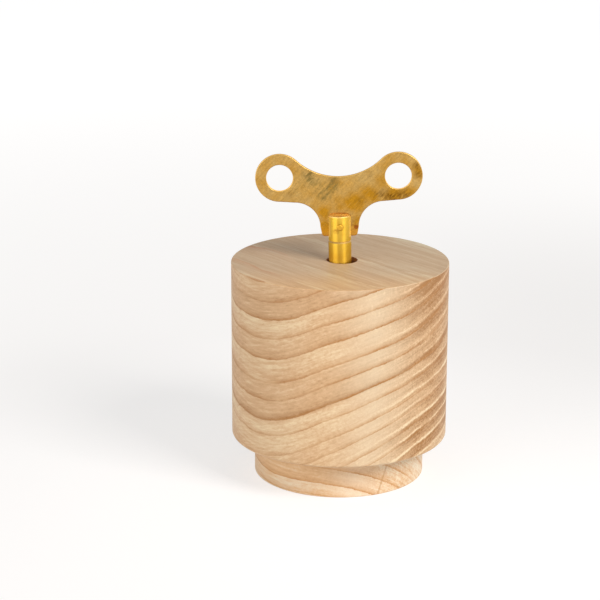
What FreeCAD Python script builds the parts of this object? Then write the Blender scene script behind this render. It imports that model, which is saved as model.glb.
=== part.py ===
import FreeCAD, Part
import math
import os

# Wooden music box: a turned wooden drum on a smaller turned foot, with a brass wing key
# standing in the middle of its top. An eighteen note comb movement hangs under the top.
# Millimetres, +Z up. The origin is the middle of the foot's underside, and the front is -Y.

# Wooden case
body_diameter = 90.0
body_height = 74.6
wall_thickness = 5.0
top_thickness = 8.0
body_bottom_rounding = 1.3
body_top_rounding = 0.4
foot_diameter = 71.0
foot_height = 16.3
foot_rounding = 0.5
board_thickness = 6.0
board_lap = 2.0
board_clearance = 0.1
key_hole_play = 1.65
key_hole_offset_x = 0.8
key_hole_offset_y = 1.1
felt_diameter = 60.0
felt_thickness = 1.0
foot_screw_circle_radius = 24.0
foot_screw_count = 4
foot_screw_head_radius = 3.6
foot_screw_head_height = 2.4
foot_screw_shank_radius = 1.75
foot_screw_sink = 8.0
foot_screw_bite = 5.0
slot_width_share = 0.28
slot_depth_share = 0.4

# Wing key: a flat two eared plate held in a slit barrel by a cross rivet.
# Heights of the key are measured from the wooden top.
key_azimuth = 1.1
key_lean = 1.25
ear_centre_x = 24.25
ear_centre_height = 35.4
ear_radius = 9.95
ear_hole_radius = 5.45
wing_low_point_height = 35.6
fillet_radius = 10.4
fillet_top_height = 25.0
fillet_side_x = 7.9
tab_half_width = 7.4
tab_bottom_height = 10.6
tab_corner_radius = 1.4
wing_thickness = 1.5
wing_edge_break = 0.2
dimple_x = 6.5
dimple_height = 14.4
dimple_radius = 0.9
dimple_floor_radius = 0.45
dimple_depth = 0.25
barrel_lower_radius = 4.75
barrel_step = 0.03
barrel_top_height = 19.8
barrel_bottom_depth = 5.0
barrel_end_break = 0.4
groove_height = 8.6
groove_width = 0.8
groove_depth = 0.3
slit_clearance = 0.02
slit_lip_break = 0.3
rivet_height = 15.1
rivet_radius = 0.9
rivet_head_radius = 1.15
rivet_head_rise = 0.35
rivet_head_rounding = 0.31
rivet_head_sink = 0.2
socket_width = 4.2
socket_depth = 12.0

# Winding arbor
arbor_radius = 2.6
square_width = 3.8
square_end_clearance = 0.5
collar_radius = 3.6
collar_height = 0.8
collar_gap = 0.2
arbor_pivot_radius = 2.0
arbor_shoulder_gap = 0.3
hook_radius = 0.5
hook_angle = 60.0
hook_clearance = 0.08
running_clearance = 0.05
cut_overrun = 1.0

# Movement plate
plate_thickness = 1.6
plate_margin = 0.8
plate_wall_clearance = 0.7
blind_hole_floor = 0.2
wood_screw_inset = 4.6
wood_screw_side_step = 6.0
wood_screw_head_radius = 2.2
wood_screw_head_height = 1.2
wood_screw_shank_radius = 1.2
wood_screw_bite = 5.5

# Spring motor. Depths are measured downwards from the lower face of the movement plate.
drive_wheel_teeth = 36
drive_tooth_length = 2.2
drive_disc_thickness = 1.0
drive_tooth_height = 1.3
drive_tooth_root_width = 1.05
drive_tooth_tip_width = 0.45
drive_tooth_end_step = 0.05
drive_mesh_height = 0.8
ratchet_teeth = 16
ratchet_radius = 6.0
ratchet_root_radius = 5.2
ratchet_thickness = 1.0
ratchet_face_angle = 0.01
click_pivot_radius = 9.0
click_pivot_angle = 60.0
click_tip_angle = 22.5
click_tip_clearance = 0.08
click_eye_radius = 1.4
click_root_outer = 0.88
click_root_inner = 0.18
click_tip_outer = 0.77
click_pin_radius = 0.7
click_pin_head_radius = 1.2
click_pin_head_height = 0.4
click_spring_thickness = 0.3
click_spring_height = 0.8
click_spring_foot = (9.6, 0.6)
click_spring_foot_size = 1.4
click_spring_gap = 0.08
click_spring_reach = 0.6
housing_radius = 11.0
housing_wall = 0.8
housing_side_gap = 0.4
housing_rim_gap = 0.5
cover_thickness = 0.6
cover_inset = 0.3
cover_hole_clearance = 0.3
housing_arm_angles = (105.0, 180.0, 255.0)
housing_arm_width = 5.0
housing_arm_thickness = 0.8
housing_arm_gap = 0.9
post_radius = 1.7
post_gap = 0.35
post_screw_hole_end = 1.0
mainspring_thickness = 0.2
mainspring_width = 8.5
mainspring_end_gap = 0.7
mainspring_arbor_gap = 0.35
mainspring_half_turn_growth = 0.16
mainspring_settled_half_turns = 30
mainspring_lead_half_turns = 4
mainspring_wall_gap = 0.1

# Pinned cylinder, lying along +X on the arbor's centre line
cylinder_arbor_radius = 1.2
cylinder_pivot_radius = 0.8
shoulder_gap = 0.15
pinion_teeth = 12
pinion_end_inset = 0.1
pinion_addendum = 0.55
pinion_dedendum = 0.85
pinion_tooth_width = 0.80
pinion_tip_width = 0.36
bracket_gap = 0.3
bracket_thickness = 1.0
bracket_half_width = 7.8
bracket_neck_half_width = 3.0
bracket_shoulder_depth = 2.5
bracket_neck_depth = 5.5
bracket_bearing_margin = 2.4
bracket_tab_length = 3.4
bracket_tab_width = 3.6
drum_gap = 0.4
drum_length = 15.7
drum_radius = 6.5
drum_wall = 0.6
drum_plate_gap = 1.12
cap_thickness = 0.8
note_count = 18
note_margin = 0.25
pins_per_note = 4
pin_radius = 0.2
pin_rise = 0.85
pin_root = 0.3
note_angle_step = 47.0
pin_shift_step = 13.0
pin_shift_cycle = 3
great_wheel_teeth = 40
great_wheel_gap = 0.4
great_wheel_thickness = 1.0
train_module = 0.35
train_addendum = 0.30
train_dedendum = 0.45
train_tooth_width = 0.43
train_tip_width = 0.16

# Comb
comb_gap = 0.1
comb_thickness = 0.8
comb_slot = 0.14
bass_tooth_length = 9.5
treble_tooth_length = 6.0
comb_root_margin = 0.25
comb_rest_width = 4.3
comb_screw_head_radius = 1.6
comb_screw_head_height = 0.9
comb_screw_shank_radius = 0.9
comb_screw_inset = 3.6
bass_weight_count = 8
bass_weight_length = 2.2
bass_weight_height = 1.3
bass_weight_inset = 0.4
bass_weight_fade = 12

# Governor
governor_direction = -30.0
governor_pinion_teeth = 8
governor_wheel_teeth = 30
governor_wheel_face = 0.8
governor_pinion_overlap = 0.3
governor_arbor_radius = 0.6
governor_pivot_radius = 0.4
worm_wheel_addendum = 0.25
worm_wheel_tooth_width = 0.30
worm_wheel_tip_width = 0.14
frame_gap = 0.3
frame_thickness = 0.8
frame_foot_start_y = 1.1
frame_foot_end_y = 9.4
frame_foot_length = 3.6
frame_foot_edge_depth = 2.0
frame_side_y = 3.4
frame_bearing_margin = 2.1
frame_screw_inset = 1.8
cock_gap = 0.7
cock_half_width = 2.0
cock_tab_gap = 0.2
worm_side_gap = 0.35
worm_mean_radius = 1.2
worm_thread_height = 0.35
worm_turns = 5.5
worm_steps_per_turn = 16
worm_end_gap = 0.9
fly_arbor_radius = 0.45
tab_thickness = 0.8
tab_half_span = 1.8
fly_gap = 0.6
fly_height = 3.5
fly_hub_radius = 1.0
vane_reach = 4.0
vane_thickness = 0.4

# Small screws that hold the movement's pieces to its plate
small_head_radius = 1.4
small_head_height = 0.8
small_shank_radius = 0.7
foot_tab_thickness = 0.8

# Wooden case and key, from the sizes above
body_radius = body_diameter / 2
foot_radius = foot_diameter / 2
top_z = foot_height + body_height
ceiling_z = top_z - top_thickness
plate_z = ceiling_z - plate_thickness
bore_radius = body_radius - wall_thickness
key_hole_radius = barrel_lower_radius + key_hole_play
barrel_upper_radius = barrel_lower_radius - barrel_step

# Radii of the spring motor, each outside the one before
mainspring_start_radius = arbor_radius + mainspring_arbor_gap
drive_teeth_inner_radius = housing_radius + housing_side_gap
drive_wheel_radius = drive_teeth_inner_radius + drive_tooth_length
drive_pitch_radius = drive_teeth_inner_radius + drive_tooth_length / 2
pinion_pitch_radius = drive_pitch_radius * pinion_teeth / drive_wheel_teeth
post_circle_radius = drive_wheel_radius + post_gap + post_radius

# Depths below the movement plate. The drum clears the plate, and the drive wheel meets its pinion.
cylinder_axis_depth = drum_plate_gap + pin_rise + drum_radius
drive_face_depth = cylinder_axis_depth - pinion_pitch_radius - drive_mesh_height
drive_disc_depth = drive_face_depth - drive_disc_thickness
housing_arm_depth = drive_face_depth + drive_tooth_height + housing_arm_gap
housing_rim_depth = drive_face_depth + housing_rim_gap
cover_bottom_depth = housing_rim_depth + cover_inset + cover_thickness
mainspring_low_depth = cover_bottom_depth + mainspring_end_gap + mainspring_width
housing_floor_depth = mainspring_low_depth + mainspring_end_gap
housing_end_depth = housing_floor_depth + housing_wall
axis_z = plate_z - cylinder_axis_depth

# Places along the cylinder, from the drive wheel outwards
pinion_start_x = drive_teeth_inner_radius + pinion_end_inset
pinion_length = drive_tooth_length - 2 * pinion_end_inset
bracket_start_x = drive_wheel_radius + bracket_gap
bracket_end_x = bracket_start_x + bracket_thickness
drum_start_x = bracket_end_x + drum_gap
drum_end_x = drum_start_x + drum_length
note_pitch = drum_length / (note_count + 2 * note_margin)
great_wheel_start_x = drum_end_x + great_wheel_gap
frame_start_x = great_wheel_start_x + great_wheel_thickness + frame_gap
frame_end_x = frame_start_x + frame_thickness
worm_x = frame_end_x + worm_side_gap + worm_thread_height + worm_mean_radius
cock_start_x = worm_x + governor_wheel_face / 2 + cock_gap
cock_end_x = cock_start_x + frame_thickness

# Comb places, from the pins outwards
comb_tip_y = drum_radius + pin_rise + comb_gap
comb_rest_front_y = comb_tip_y + bass_tooth_length + comb_root_margin
comb_back_y = comb_rest_front_y + comb_rest_width
comb_top_z = axis_z + comb_thickness / 2
comb_low_z = axis_z - comb_thickness / 2

# Governor places, below and in front of the cylinder
great_wheel_pitch_radius = train_module * great_wheel_teeth / 2
governor_pinion_pitch_radius = train_module * governor_pinion_teeth / 2
governor_wheel_pitch_radius = train_module * governor_wheel_teeth / 2
governor_centre_distance = great_wheel_pitch_radius + governor_pinion_pitch_radius
governor_y = -governor_centre_distance * math.cos(math.radians(governor_direction))
governor_z = axis_z + governor_centre_distance * math.sin(math.radians(governor_direction))
worm_pitch = math.pi * train_module
worm_length = worm_pitch * worm_turns
worm_y = governor_y + governor_wheel_pitch_radius + worm_mean_radius
high_tab_z = governor_z + worm_length / 2 + worm_end_gap
low_tab_z = governor_z - worm_length / 2 - worm_end_gap - tab_thickness
fly_top_z = low_tab_z - fly_gap

# Movement plate, as far as the pieces that it carries
plate_left_x = -(post_circle_radius + post_radius + plate_margin)
plate_right_x = cock_end_x + plate_margin
plate_comb_side_y = comb_back_y + plate_margin
plate_governor_side_y = plate_left_x
plate_corner_radius = bore_radius - plate_wall_clearance
drill_top_z = ceiling_z - blind_hole_floor


def vector(x, y, z):
    return FreeCAD.Vector(x, y, z)


def depth(value):
    """The height of a depth below the movement plate."""
    return plate_z - value


def rod(radius, low, high, x=0.0, y=0.0):
    """An upright round rod between two heights."""
    return Part.makeCylinder(radius, high - low, vector(x, y, low))


def rod_along_x(radius, start, end, y, z):
    return Part.makeCylinder(radius, end - start, vector(start, y, z), vector(1, 0, 0))


def rod_along_y(radius, start, end, x, z):
    return Part.makeCylinder(radius, end - start, vector(x, start, z), vector(0, 1, 0))


def block(x_low, x_high, y_low, y_high, z_low, z_high):
    corner = vector(x_low, y_low, z_low)
    return Part.makeBox(x_high - x_low, y_high - y_low, z_high - z_low, corner)


def prism(points, direction):
    """A straight prism over a closed outline of points."""
    outline = Part.makePolygon([vector(*p) for p in points + points[:1]])
    return Part.Face(outline).extrude(vector(*direction))


def lathe(profile):
    """A turned solid from (radius, height) points, round the Z axis."""
    outline = Part.makePolygon([vector(r, 0, z) for r, z in profile + profile[:1]])
    return Part.Face(outline).revolve(vector(0, 0, 0), vector(0, 0, 1), 360)


def turned(shape, angle, centre=(0, 0, 0), axis=(0, 0, 1)):
    copy = shape.copy()
    copy.rotate(vector(*centre), vector(*axis), angle)
    return copy


def moved(shape, x, y, z):
    copy = shape.copy()
    copy.translate(vector(x, y, z))
    return copy


def joined(shapes):
    return shapes[0].multiFuse(shapes[1:]).removeSplitter()


def drilled(shape, radius, low, high, places=((0.0, 0.0),)):
    """Upright holes that run past both heights."""
    holes = [rod(radius, low - cut_overrun, high + cut_overrun, x, y) for x, y in places]
    return shape.cut(holes)


def drilled_along_x(shape, radius, start, end, y, z):
    """A level hole that runs past both ends."""
    return shape.cut(rod_along_x(radius, start - cut_overrun, end + cut_overrun, y, z))


def edges_at(shape, test):
    """The edges whose bounding box passes a test, for roundings."""
    return [edge for edge in shape.Edges if test(edge.BoundBox)]


def polar(radius, angle):
    return radius * math.cos(math.radians(angle)), radius * math.sin(math.radians(angle))


def save(name, *shapes):
    """One file per sub-part, with each separate piece as a solid of its own."""
    solids = [solid for shape in shapes for solid in shape.Solids]
    whole = solids[0] if len(solids) == 1 else Part.makeCompound(solids)
    whole.exportStep("parts/" + name + ".step")


def toothed_disc(teeth, pitch_radius, tooth, length, bore, phase):
    """A spur wheel along +X from x = 0, with straight flanked teeth. Angle 0 points down, 90 to +Y."""
    addendum, dedendum, tooth_width, tip_width = tooth
    root = pitch_radius - dedendum
    tip = pitch_radius + addendum
    flank = (tooth_width - tip_width) / addendum
    step = 360.0 / teeth
    half_root = math.degrees((tooth_width + flank * dedendum) / 2 / root)
    # neighbouring teeth keep a sliver of root circle between them
    half_root = min(half_root, step * 0.49)
    half_tip = math.degrees(tip_width / 2 / tip)
    points = []
    for index in range(teeth):
        middle = phase + index * step
        for radius, angle in (
            (root, middle - half_root),
            (tip, middle - half_tip),
            (tip, middle + half_tip),
            (root, middle + half_root),
        ):
            down, across = polar(radius, angle)
            points.append((0.0, across, -down))
    wheel = prism(points, (length, 0, 0))
    return drilled_along_x(wheel, bore, 0.0, length, 0.0, 0.0)


def screw(head_radius, head_height, shank_radius, shank_length, x, y, seat_z):
    """A screw whose head lies below its seat and whose shank runs up, with a driver slot."""
    head = rod(head_radius, seat_z - head_height, seat_z, x, y)
    shank = rod(shank_radius, seat_z, seat_z + shank_length, x, y)
    half_slot = head_radius * slot_width_share / 2
    reach = head_radius + cut_overrun
    face = seat_z - head_height
    slot_top = face + head_height * slot_depth_share
    slot = block(x - reach, x + reach, y - half_slot, y + half_slot, face - cut_overrun, slot_top)
    return joined([head, shank]).cut(slot)


def small_screw(length, x, y, seat_z):
    return screw(small_head_radius, small_head_height, small_shank_radius, length, x, y, seat_z)


# Wooden case
def body_shell():
    """The drum: top and wall turned from one block, bored from below, with a lap for the board."""
    shell = rod(body_radius, foot_height, top_z)
    top_edge = edges_at(shell, lambda box: box.ZMin > top_z - body_top_rounding)
    shell = shell.makeFillet(body_top_rounding, top_edge)
    low_edge = edges_at(shell, lambda box: box.ZMax < foot_height + body_bottom_rounding)
    shell = shell.makeFillet(body_bottom_rounding, low_edge)
    shell = shell.cut(rod(bore_radius, foot_height - cut_overrun, ceiling_z))
    lap = rod(bore_radius + board_lap, foot_height - cut_overrun, foot_height + board_thickness)
    key_hole_place = (key_hole_offset_x, key_hole_offset_y)
    shell = drilled(shell.cut(lap), key_hole_radius, ceiling_z, top_z, [key_hole_place])
    for x, y in wood_screw_places():
        pilot_top = ceiling_z + wood_screw_bite
        shell = shell.cut(rod(wood_screw_shank_radius, ceiling_z - cut_overrun, pilot_top, x, y))
    return shell


def foot_screw_places():
    step = 360.0 / foot_screw_count
    return [polar(foot_screw_circle_radius, step * (index + 0.5)) for index in range(foot_screw_count)]


def bottom_board():
    board = rod(bore_radius + board_lap - board_clearance, foot_height, foot_height + board_thickness)
    for x, y in foot_screw_places():
        pilot_top = foot_height + foot_screw_bite
        board = board.cut(rod(foot_screw_shank_radius, foot_height - cut_overrun, pilot_top, x, y))
    return board


def foot():
    disc = rod(foot_radius, 0.0, foot_height)
    rims = edges_at(disc, lambda box: box.ZLength < foot_rounding)
    disc = disc.makeFillet(foot_rounding, rims)
    disc = disc.cut(rod(felt_diameter / 2, -cut_overrun, felt_thickness))
    for x, y in foot_screw_places():
        disc = disc.cut(rod(foot_screw_head_radius, -cut_overrun, foot_screw_sink, x, y))
    return drilled(disc, foot_screw_shank_radius, 0.0, foot_height, foot_screw_places())


def foot_screws():
    head = (foot_screw_head_radius, foot_screw_head_height, foot_screw_shank_radius)
    length = foot_height + foot_screw_bite - foot_screw_sink
    return [screw(*head, length, x, y, foot_screw_sink) for x, y in foot_screw_places()]


def base_felt():
    return rod(felt_diameter / 2, 0.0, felt_thickness)


# Wing key, drawn upright and then leaned and turned together
def place_key(shape):
    """Lean the key sideways on its loose square, then turn it to where it was left."""
    square_middle = (0, 0, top_z - barrel_bottom_depth + socket_depth / 2)
    leaned = turned(shape, -key_lean, square_middle, (0, 1, 0))
    return turned(leaned, key_azimuth)


def wing_outline():
    """The plate's outline at y = 0: ears joined by a hollow top arc and hollow arcs to the stem."""
    rise = wing_low_point_height
    gap = rise - ear_centre_height
    # the hollow arc is tangent to both ear circles and passes through the low point
    hollow = (ear_centre_x**2 + gap**2 - ear_radius**2) / (2 * (ear_radius - gap))
    hollow_z = rise + hollow
    share = hollow / (hollow + ear_radius)
    meet_x = ear_centre_x * share
    meet_z = hollow_z + (ear_centre_height - hollow_z) * share
    fillet_x = fillet_side_x + fillet_radius
    fillet_z = fillet_top_height - fillet_radius
    diagonal = math.sqrt(0.5)

    def point(x, height):
        return vector(x, 0, top_z + height)

    def half(side):
        far = point(side * (ear_centre_x + ear_radius), ear_centre_height)
        ear_bottom = point(side * ear_centre_x, ear_centre_height - ear_radius)
        fillet_start = point(side * fillet_x, fillet_top_height)
        fillet_middle = point(
            side * (fillet_x - fillet_radius * diagonal),
            fillet_z + fillet_radius * diagonal,
        )
        fillet_end = point(side * fillet_side_x, fillet_z)
        tab_side = point(side * tab_half_width, tab_bottom_height + tab_corner_radius)
        corner_x = tab_half_width - tab_corner_radius
        corner_middle = point(
            side * (corner_x + tab_corner_radius * diagonal),
            tab_bottom_height + tab_corner_radius * (1 - diagonal),
        )
        tab_bottom = point(side * corner_x, tab_bottom_height)
        edges = [
            Part.Arc(point(side * meet_x, meet_z), far, ear_bottom).toShape(),
            Part.LineSegment(ear_bottom, fillet_start).toShape(),
            Part.Arc(fillet_start, fillet_middle, fillet_end).toShape(),
            Part.LineSegment(fillet_end, tab_side).toShape(),
            Part.Arc(tab_side, corner_middle, tab_bottom).toShape(),
        ]
        return edges, tab_bottom

    right, right_end = half(1)
    left, left_end = half(-1)
    top = Part.Arc(point(-meet_x, meet_z), point(0, rise), point(meet_x, meet_z)).toShape()
    bottom = Part.LineSegment(right_end, left_end).toShape()
    return Part.Wire(Part.__sortEdges__([top] + right + [bottom] + left))


def key_wing():
    half = wing_thickness / 2
    plate = Part.Face(wing_outline()).extrude(vector(0, wing_thickness, 0))
    wing = moved(plate, 0, -half, 0)
    start = -half - cut_overrun
    end = half + cut_overrun
    for side in (-1, 1):
        wing = wing.cut(
            rod_along_y(ear_hole_radius, start, end, side * ear_centre_x, top_z + ear_centre_height)
        )
    rims = edges_at(wing, lambda box: box.YLength < wing_edge_break)
    wing = wing.makeChamfer(wing_edge_break, rims)
    dimple = Part.makeCone(
        dimple_radius,
        dimple_floor_radius,
        dimple_depth,
        vector(dimple_x, -half, top_z + dimple_height),
        vector(0, 1, 0),
    )
    return wing.cut(rod_along_y(rivet_radius, start, end, 0, top_z + rivet_height)).cut(dimple)


def key_barrel():
    """A turned sleeve: square socket below, slit above for the wing, one ring groove between."""
    low = top_z - barrel_bottom_depth
    high = top_z + barrel_top_height
    groove_z = top_z + groove_height
    half_groove = groove_width / 2
    sleeve = lathe(
        [
            (0, low),
            (barrel_lower_radius - barrel_end_break, low),
            (barrel_lower_radius, low + barrel_end_break),
            (barrel_lower_radius, groove_z - half_groove),
            (barrel_upper_radius - groove_depth, groove_z),
            (barrel_upper_radius, groove_z + half_groove),
            (barrel_upper_radius, high - barrel_end_break),
            (barrel_upper_radius - barrel_end_break, high),
            (0, high),
        ]
    )
    half = socket_width / 2
    socket = block(-half, half, -half, half, low - cut_overrun, low + socket_depth)
    half_slit = wing_thickness / 2 + slit_clearance
    reach = barrel_lower_radius + cut_overrun
    slit_low = top_z + tab_bottom_height
    slit = block(-reach, reach, -half_slit, half_slit, slit_low, high + cut_overrun)
    sleeve = sleeve.cut(socket).cut(slit)

    def is_lip(box):
        upright = box.YLength < slit_clearance and box.XLength < slit_clearance
        on_slit = abs(abs(box.YMin) - half_slit) < slit_clearance
        return upright and on_slit and box.ZLength > barrel_end_break * 2

    sleeve = sleeve.makeChamfer(slit_lip_break, edges_at(sleeve, is_lip))
    return sleeve.cut(rod_along_y(rivet_radius, -reach, reach, 0, top_z + rivet_height))


def key_rivet():
    """A cross rivet with low domed heads, its shank a fit in barrel and wing."""
    height = top_z + rivet_height
    shank = rod_along_y(rivet_radius, -barrel_upper_radius, barrel_upper_radius, 0, height)
    sag = barrel_upper_radius - math.sqrt(barrel_upper_radius**2 - rivet_head_radius**2)
    inner_end = barrel_upper_radius - sag - rivet_head_sink
    outer_end = barrel_upper_radius + rivet_head_rise
    head = rod_along_y(rivet_head_radius, inner_end, outer_end, 0, height)
    rim = edges_at(head, lambda box: box.YMin > barrel_upper_radius)
    head = head.makeFillet(rivet_head_rounding, rim)
    barrel_low = height - 2 * rivet_head_radius
    barrel_high = height + 2 * rivet_head_radius
    head = head.cut(rod(barrel_upper_radius, barrel_low, barrel_high))
    return joined([shank, head, turned(head, 180)])


# Winding arbor and the pieces that turn with it
def hook_rod(radius, reach):
    """A level rod from the arbor's axis through the middle of the mainspring's width."""
    across, along = polar(reach, hook_angle + key_azimuth)
    middle_z = depth(mainspring_low_depth - mainspring_width / 2)
    return Part.makeCylinder(radius, reach, vector(0, 0, middle_z), vector(across, along, 0))


def winding_arbor():
    collar_high = top_z - barrel_bottom_depth - collar_gap
    collar_low = collar_high - collar_height
    square_high = top_z - barrel_bottom_depth + socket_depth - square_end_clearance
    half = square_width / 2
    square = block(-half, half, -half, half, collar_low, square_high)
    square = square.common(rod(arbor_radius, collar_low, square_high))
    shoulder_z = depth(housing_floor_depth - arbor_shoulder_gap)
    pivot_end_z = depth(housing_end_depth + arbor_shoulder_gap)
    pieces = [
        square,
        rod(collar_radius, collar_low, collar_high),
        rod(arbor_radius, shoulder_z, collar_low),
        rod(arbor_pivot_radius, pivot_end_z, shoulder_z),
    ]
    hook = hook_rod(hook_radius, mainspring_start_radius + mainspring_thickness)
    return joined([turned(joined(pieces), key_azimuth), hook])


def drive_wheel():
    """A thin disc with face teeth on the lower side of its rim."""
    low = depth(drive_face_depth)
    high = depth(drive_disc_depth)
    half_root = drive_tooth_root_width / 2
    half_tip = drive_tooth_tip_width / 2
    tooth = prism(
        [
            (drive_teeth_inner_radius, -half_root, low),
            (drive_teeth_inner_radius, half_root, low),
            (drive_teeth_inner_radius, half_tip, low - drive_tooth_height),
            (drive_teeth_inner_radius, -half_tip, low - drive_tooth_height),
        ],
        (drive_tooth_length - drive_tooth_end_step, 0, 0),
    )
    step = 360.0 / drive_wheel_teeth
    teeth = [turned(tooth, index * step) for index in range(drive_wheel_teeth)]
    wheel = joined([rod(drive_wheel_radius, low, high)] + teeth)
    wheel = drilled(wheel, arbor_radius + running_clearance, low, high)
    return drilled(wheel, click_pin_radius, low, high, [click_pivot(), click_spring_foot])


def ratchet_wheel():
    """A saw toothed wheel. Its steep faces push the click as the spring runs down."""
    low = depth(drive_disc_depth)
    step = 360.0 / ratchet_teeth
    points = []
    for index in range(ratchet_teeth):
        steep = click_tip_angle + index * step
        points.append((*polar(ratchet_radius, steep), low))
        points.append((*polar(ratchet_root_radius, steep + ratchet_face_angle), low))
    wheel = prism(points, (0, 0, ratchet_thickness))
    return drilled(wheel, arbor_radius, low, low + ratchet_thickness)


def click_pivot():
    return polar(click_pivot_radius, click_pivot_angle)


def click_frame():
    """A function from (share of the click's length, distance outwards) to a place."""
    pivot = click_pivot()
    tip_radius = (ratchet_radius + ratchet_root_radius) / 2
    tip = polar(tip_radius, click_tip_angle + math.degrees(click_tip_clearance / tip_radius))
    run = (tip[0] - pivot[0], tip[1] - pivot[1])
    length = math.hypot(*run)
    outwards = (-run[1] / length, run[0] / length)

    def place(share, out):
        return pivot[0] + run[0] * share + outwards[0] * out, pivot[1] + run[1] * share + outwards[1] * out

    return place


def click():
    """The click: a lever whose tip stands behind a steep face of the ratchet wheel."""
    place = click_frame()
    low = depth(drive_disc_depth)
    high = low + ratchet_thickness
    corners = [(0, click_root_outer), (1, click_tip_outer), (1, 0), (0, -click_root_inner)]
    blade = prism([(*place(share, out), low) for share, out in corners], (0, 0, ratchet_thickness))
    lever = joined([blade, rod(click_eye_radius, low, high, *click_pivot())])
    return drilled(lever, click_pin_radius + running_clearance, low, high, [click_pivot()])


def click_pin():
    face = depth(drive_disc_depth) + ratchet_thickness + running_clearance
    end = face + click_pin_head_height
    pin = rod(click_pin_radius, depth(drive_face_depth), end, *click_pivot())
    return joined([pin, rod(click_pin_head_radius, face, end, *click_pivot())])


def click_spring():
    """A leaf from its foot on the wheel to the click's outer side."""
    foot_x, foot_y = click_spring_foot
    low = depth(drive_disc_depth)
    high = low + click_spring_height
    half = click_spring_foot_size / 2
    foot_block = block(foot_x - half, foot_x + half, foot_y - half, foot_y + half, low, high)
    stud = rod(click_pin_radius, depth(drive_face_depth), low, foot_x, foot_y)
    share = click_spring_reach
    click_side = click_root_outer * (1 - share) + click_tip_outer * share
    end_x, end_y = click_frame()(share, click_side + click_spring_gap + click_spring_thickness)
    run_x = end_x - foot_x
    run_y = end_y - foot_y
    half_width = click_spring_thickness / 2 / math.hypot(run_x, run_y)
    side_x = -run_y * half_width
    side_y = run_x * half_width
    leaf = prism(
        [
            (foot_x + side_x, foot_y + side_y, low),
            (foot_x - side_x, foot_y - side_y, low),
            (end_x - side_x, end_y - side_y, low),
            (end_x + side_x, end_y + side_y, low),
        ],
        (0, 0, click_spring_height),
    )
    return joined([foot_block, stud, leaf])


# Spring motor's still pieces
def post_places():
    return [polar(post_circle_radius, angle) for angle in housing_arm_angles]


def spring_housing():
    """A cup round the mainspring, open at the top, with three arms to the plate's posts."""
    inner = housing_radius - housing_wall
    end_z = depth(housing_end_depth)
    rim_z = depth(housing_rim_depth)
    arm_z = depth(housing_arm_depth)
    half = housing_arm_width / 2
    arm = block(inner, post_circle_radius + post_radius, -half, half, arm_z - housing_arm_thickness, arm_z)
    arms = [turned(arm, angle) for angle in housing_arm_angles]
    cup = joined([rod(housing_radius, end_z, rim_z)] + arms)
    cup = cup.cut(rod(inner, depth(housing_floor_depth), rim_z + cut_overrun))
    cup = drilled(cup, arbor_pivot_radius + running_clearance, end_z, rim_z)
    return drilled(cup, small_shank_radius, arm_z - housing_arm_thickness, arm_z, post_places())


def spring_cover():
    """A disc pressed into the housing's rim, loose round the arbor."""
    low = depth(cover_bottom_depth)
    high = low + cover_thickness
    disc = rod(housing_radius - housing_wall, low, high)
    return drilled(disc, arbor_radius + cover_hole_clearance, low, high)


def housing_screws():
    seat = depth(housing_arm_depth + housing_arm_thickness)
    length = housing_arm_thickness + housing_arm_depth - post_screw_hole_end
    return [small_screw(length, x, y, seat) for x, y in post_places()]


def mainspring():
    """The run down strip: a few wide half turns from the arbor, then turns settled by the wall."""
    low = depth(mainspring_low_depth)
    wall_radius = housing_radius - housing_wall - mainspring_wall_gap - mainspring_thickness
    settled = [mainspring_half_turn_growth] * mainspring_settled_half_turns
    lead_growth = (wall_radius - sum(settled) - mainspring_start_radius) / mainspring_lead_half_turns
    growths = [lead_growth] * mainspring_lead_half_turns + settled

    def spiral(radius):
        """Tangent half circles about centres that shift along X as the radius grows."""
        centre = 0.0
        side = 1
        edges = []
        for growth in growths:
            start = vector(centre + side * radius, 0, low)
            middle = vector(centre, side * radius, low)
            end = vector(centre - side * radius, 0, low)
            edges.append(Part.Arc(start, middle, end).toShape())
            centre += side * growth
            radius += growth
            side = -side
        return edges, vector(centre + side * radius, 0, low)

    inner, inner_end = spiral(mainspring_start_radius)
    outer, outer_end = spiral(mainspring_start_radius + mainspring_thickness)
    ends = [
        Part.LineSegment(inner[0].Vertexes[0].Point, outer[0].Vertexes[0].Point).toShape(),
        Part.LineSegment(inner_end, outer_end).toShape(),
    ]
    outline = Part.Wire(Part.__sortEdges__(inner + outer + ends))
    strip = Part.Face(outline).extrude(vector(0, 0, mainspring_width))
    # the arbor's hook stands in a hole near the strip's inner end
    hole_reach = mainspring_start_radius + mainspring_thickness + hook_clearance
    return strip.cut(hook_rod(hook_radius + hook_clearance, hole_reach))


# Movement plate
def wood_screw_places():
    left = plate_left_x + wood_screw_inset
    front = plate_governor_side_y + wood_screw_inset
    beside_comb = (drum_start_x - wood_screw_side_step, (comb_rest_front_y + comb_back_y) / 2)
    before_drum = ((drum_start_x + drum_end_x) / 2, front)
    return [(left, front), (left, -front), beside_comb, before_drum]


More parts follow.
